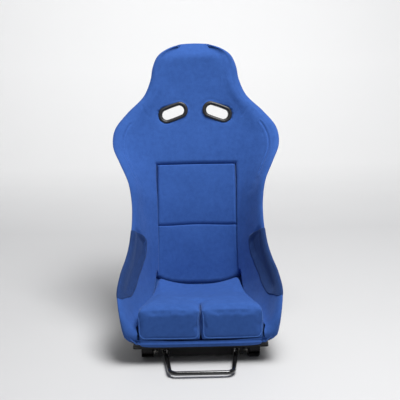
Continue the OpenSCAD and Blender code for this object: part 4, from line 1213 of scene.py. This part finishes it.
cushion = make_cushion()
low_part = coordinates(cushion)[:, 2] < 0.085
puff(cushion, 2.6, low_part, 3.2)
finer = cushion.modifiers.new("finer", "SUBSURF")
finer.levels = finer.render_levels = 1
apply_to(cushion)
cushion.data.polygons.foreach_set("use_smooth", np.ones(len(cushion.data.polygons), bool))
box_uv(cushion)
dress(cushion, FABRIC, "seat")
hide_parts("seat_cushion")
for welt in cushion_welts(cushion):
    dress(welt, PIPING_PAINTED_HIGHLIGHT, "seat")

cover_tree = surface_of(cover)
for side, side_name in SIDES:
    patch = make_patch(side, "hip_patch_suede_" + side_name, cover_tree)
    dress(patch, SUEDE, "seat")
    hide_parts("hip_patch_" + side_name)
    patch_tree = surface_of(patch)
    thread = stitch_mesh("stitching_" + side_name,
                         patch_stitches(side, patch_tree) + wing_stitches(side, cover_tree))
    dress(thread, THREAD, "seat")

for side, side_name in SIDES:
    bezel = make_bezel(side, "bezel_ring_" + side_name)
    dress(bezel, PLASTIC, "seat")
    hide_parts("harness_bezel_front_" + side_name)

shell = make_shell()
dress(shell, SHELL, "seat")
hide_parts("seat_shell")

bar = make_towel_bar()
dress(bar, BAR, "release")
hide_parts("towel_bar")


def finish_for(name):
    """The material of a CAD node that no piece here stands for."""
    if name.startswith(("harness_bezel", "hook_loop", "ball_cage")):
        return PLASTIC
    if name.startswith("shell_mount_bosses"):
        return SHELL
    zinc_like = ("bezel_screws", "shell_bolts", "adapter_bolts", "adapter_nuts", "strip_rivets",
                 "travel_stops", "bearing_balls", "bar_screws", "bracket_rivets", "pivot_pins",
                 "pivot_clips", "return_spring", "spring_anchor_pins", "spring_lever_pins",
                 "captive_nut_plates", "lock_strip", "latch_lever")
    return ZINC if name.startswith(zinc_like) else STEEL


for node_name, node_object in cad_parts.items():
    m = finish_for(node_name)
    if node_object.data.materials:
        for k in range(len(node_object.data.materials)):
            node_object.data.materials[k] = m
    else:
        node_object.data.materials.append(m)


# ---- floor, light and camera ---------------------------------------------------------------------
def make_studio():
    """A pale floor that curves up into a backdrop."""
    floor_end, curve = 2.3, 1.8
    turn = np.linspace(0.05, math.pi / 2, 26)
    wall = floor_end + curve
    y = np.concatenate([np.linspace(-4.2, floor_end, 12), floor_end + curve * np.sin(turn), [wall, wall]])
    z = np.concatenate([np.zeros(12), curve - curve * np.cos(turn), [3.4, 6.5]])
    x = np.linspace(-6, 6, 9)
    points = np.array([[[xx, yy, zz] for xx in x] for yy, zz in zip(y, z)]) * 1000
    return mesh_object("studio", points.reshape(-1, 3), grid_faces(len(y), len(x)))


def studio_material():
    """Pale paper, its grey graded from the floor in front, over the floor behind, up the backdrop: painted
    shade dims the floor behind the seat, and painted light brightens the backdrop towards its top.
    """
    m, nodes, links, bsdf = material("studio_paper_painted_light")
    solid = nodes.new("ShaderNodeTexCoord").outputs["Object"]
    axes = nodes.new("ShaderNodeSeparateXYZ")
    links.new(solid, axes.inputs[0])
    along = maths(nodes, links, "ADD", axes.outputs["Y"], axes.outputs["Z"])
    along = maths(nodes, links, "ADD", maths(nodes, links, "MULTIPLY", along, 0.17), 0.25)
    grain = noise(nodes, links, solid, 3.0, 3, 0.5)
    along = maths(nodes, links, "ADD", along, maths(nodes, links, "MULTIPLY", grain, 0.02))
    # the dark band over the floor behind the seat is painted shade, and the rise up the backdrop is painted
    # light
    grey = ramp(nodes, [(0.105, (0.62, 0.62, 0.625)), (0.29, (0.58, 0.58, 0.585)),
                        (0.48, (0.585, 0.585, 0.59)), (0.71, (0.84, 0.84, 0.84)),
                        (0.957, (0.93, 0.93, 0.93))])
    links.new(along, grey.inputs["Fac"])
    links.new(grey.outputs["Color"], bsdf.inputs["Base Color"])
    set_inputs(bsdf, Roughness=0.75, Specular_IOR_Level=0.15)
    return m


studio = make_studio()
studio.data.materials.append(studio_material())


def area_light(name, place, target, size, power):
    """A rectangular light that looks at a point."""
    lamp = bpy.data.lights.new(name, "AREA")
    lamp.shape = "RECTANGLE"
    lamp.size, lamp.size_y = size
    lamp.energy = power
    obj = bpy.data.objects.new(name, lamp)
    obj.location = place
    obj.rotation_euler = (Vector(target) - Vector(place)).to_track_quat("-Z", "Y").to_euler()
    bpy.context.scene.collection.objects.link(obj)


area_light("key_soft", (0.75, -1.15, 2.95), (0.0, 0.05, 0.4), (1.3, 1.0), 72)
area_light("top_soft", (0.45, -0.35, 3.1), (0.0, 0.1, 0.3), (1.5, 1.2), 56)
area_light("back_wash", (0.0, 2.1, 3.7), (0.0, 4.0, 2.3), (4.8, 1.0), 74)

world = bpy.data.worlds.new("soft_world")
world.use_nodes = True
set_inputs(world.node_tree.nodes["Background"], Color=(0.93, 0.95, 1.0, 1), Strength=0.15)
bpy.context.scene.world = world
bpy.context.scene.view_settings.view_transform = "Standard"

YAW, PITCH, ROLL, DISTANCE, EYE_Z = -0.012, 0.251, -0.017, 3.0, 1.25


def place_camera():
    """The camera that was fitted to the photograph's outline."""
    data = bpy.data.cameras.new("camera")
    data.lens, data.sensor_width, data.shift_x = 84.33, 36, 0.006
    camera = bpy.data.objects.new("camera", data)
    camera.location = (math.sin(YAW) * DISTANCE, -math.cos(YAW) * DISTANCE, EYE_Z)
    forward = Vector((-math.sin(YAW) * math.cos(PITCH), math.cos(YAW) * math.cos(PITCH), -math.sin(PITCH)))
    right = Vector((math.cos(YAW), math.sin(YAW), 0))
    up = right.cross(forward)
    right_rolled = right * math.cos(ROLL) + up * math.sin(ROLL)
    up_rolled = -right * math.sin(ROLL) + up * math.cos(ROLL)
    camera.rotation_euler = Matrix((right_rolled, up_rolled, -forward)).transposed().to_euler()
    bpy.context.scene.collection.objects.link(camera)
    bpy.context.scene.camera = camera


place_camera()
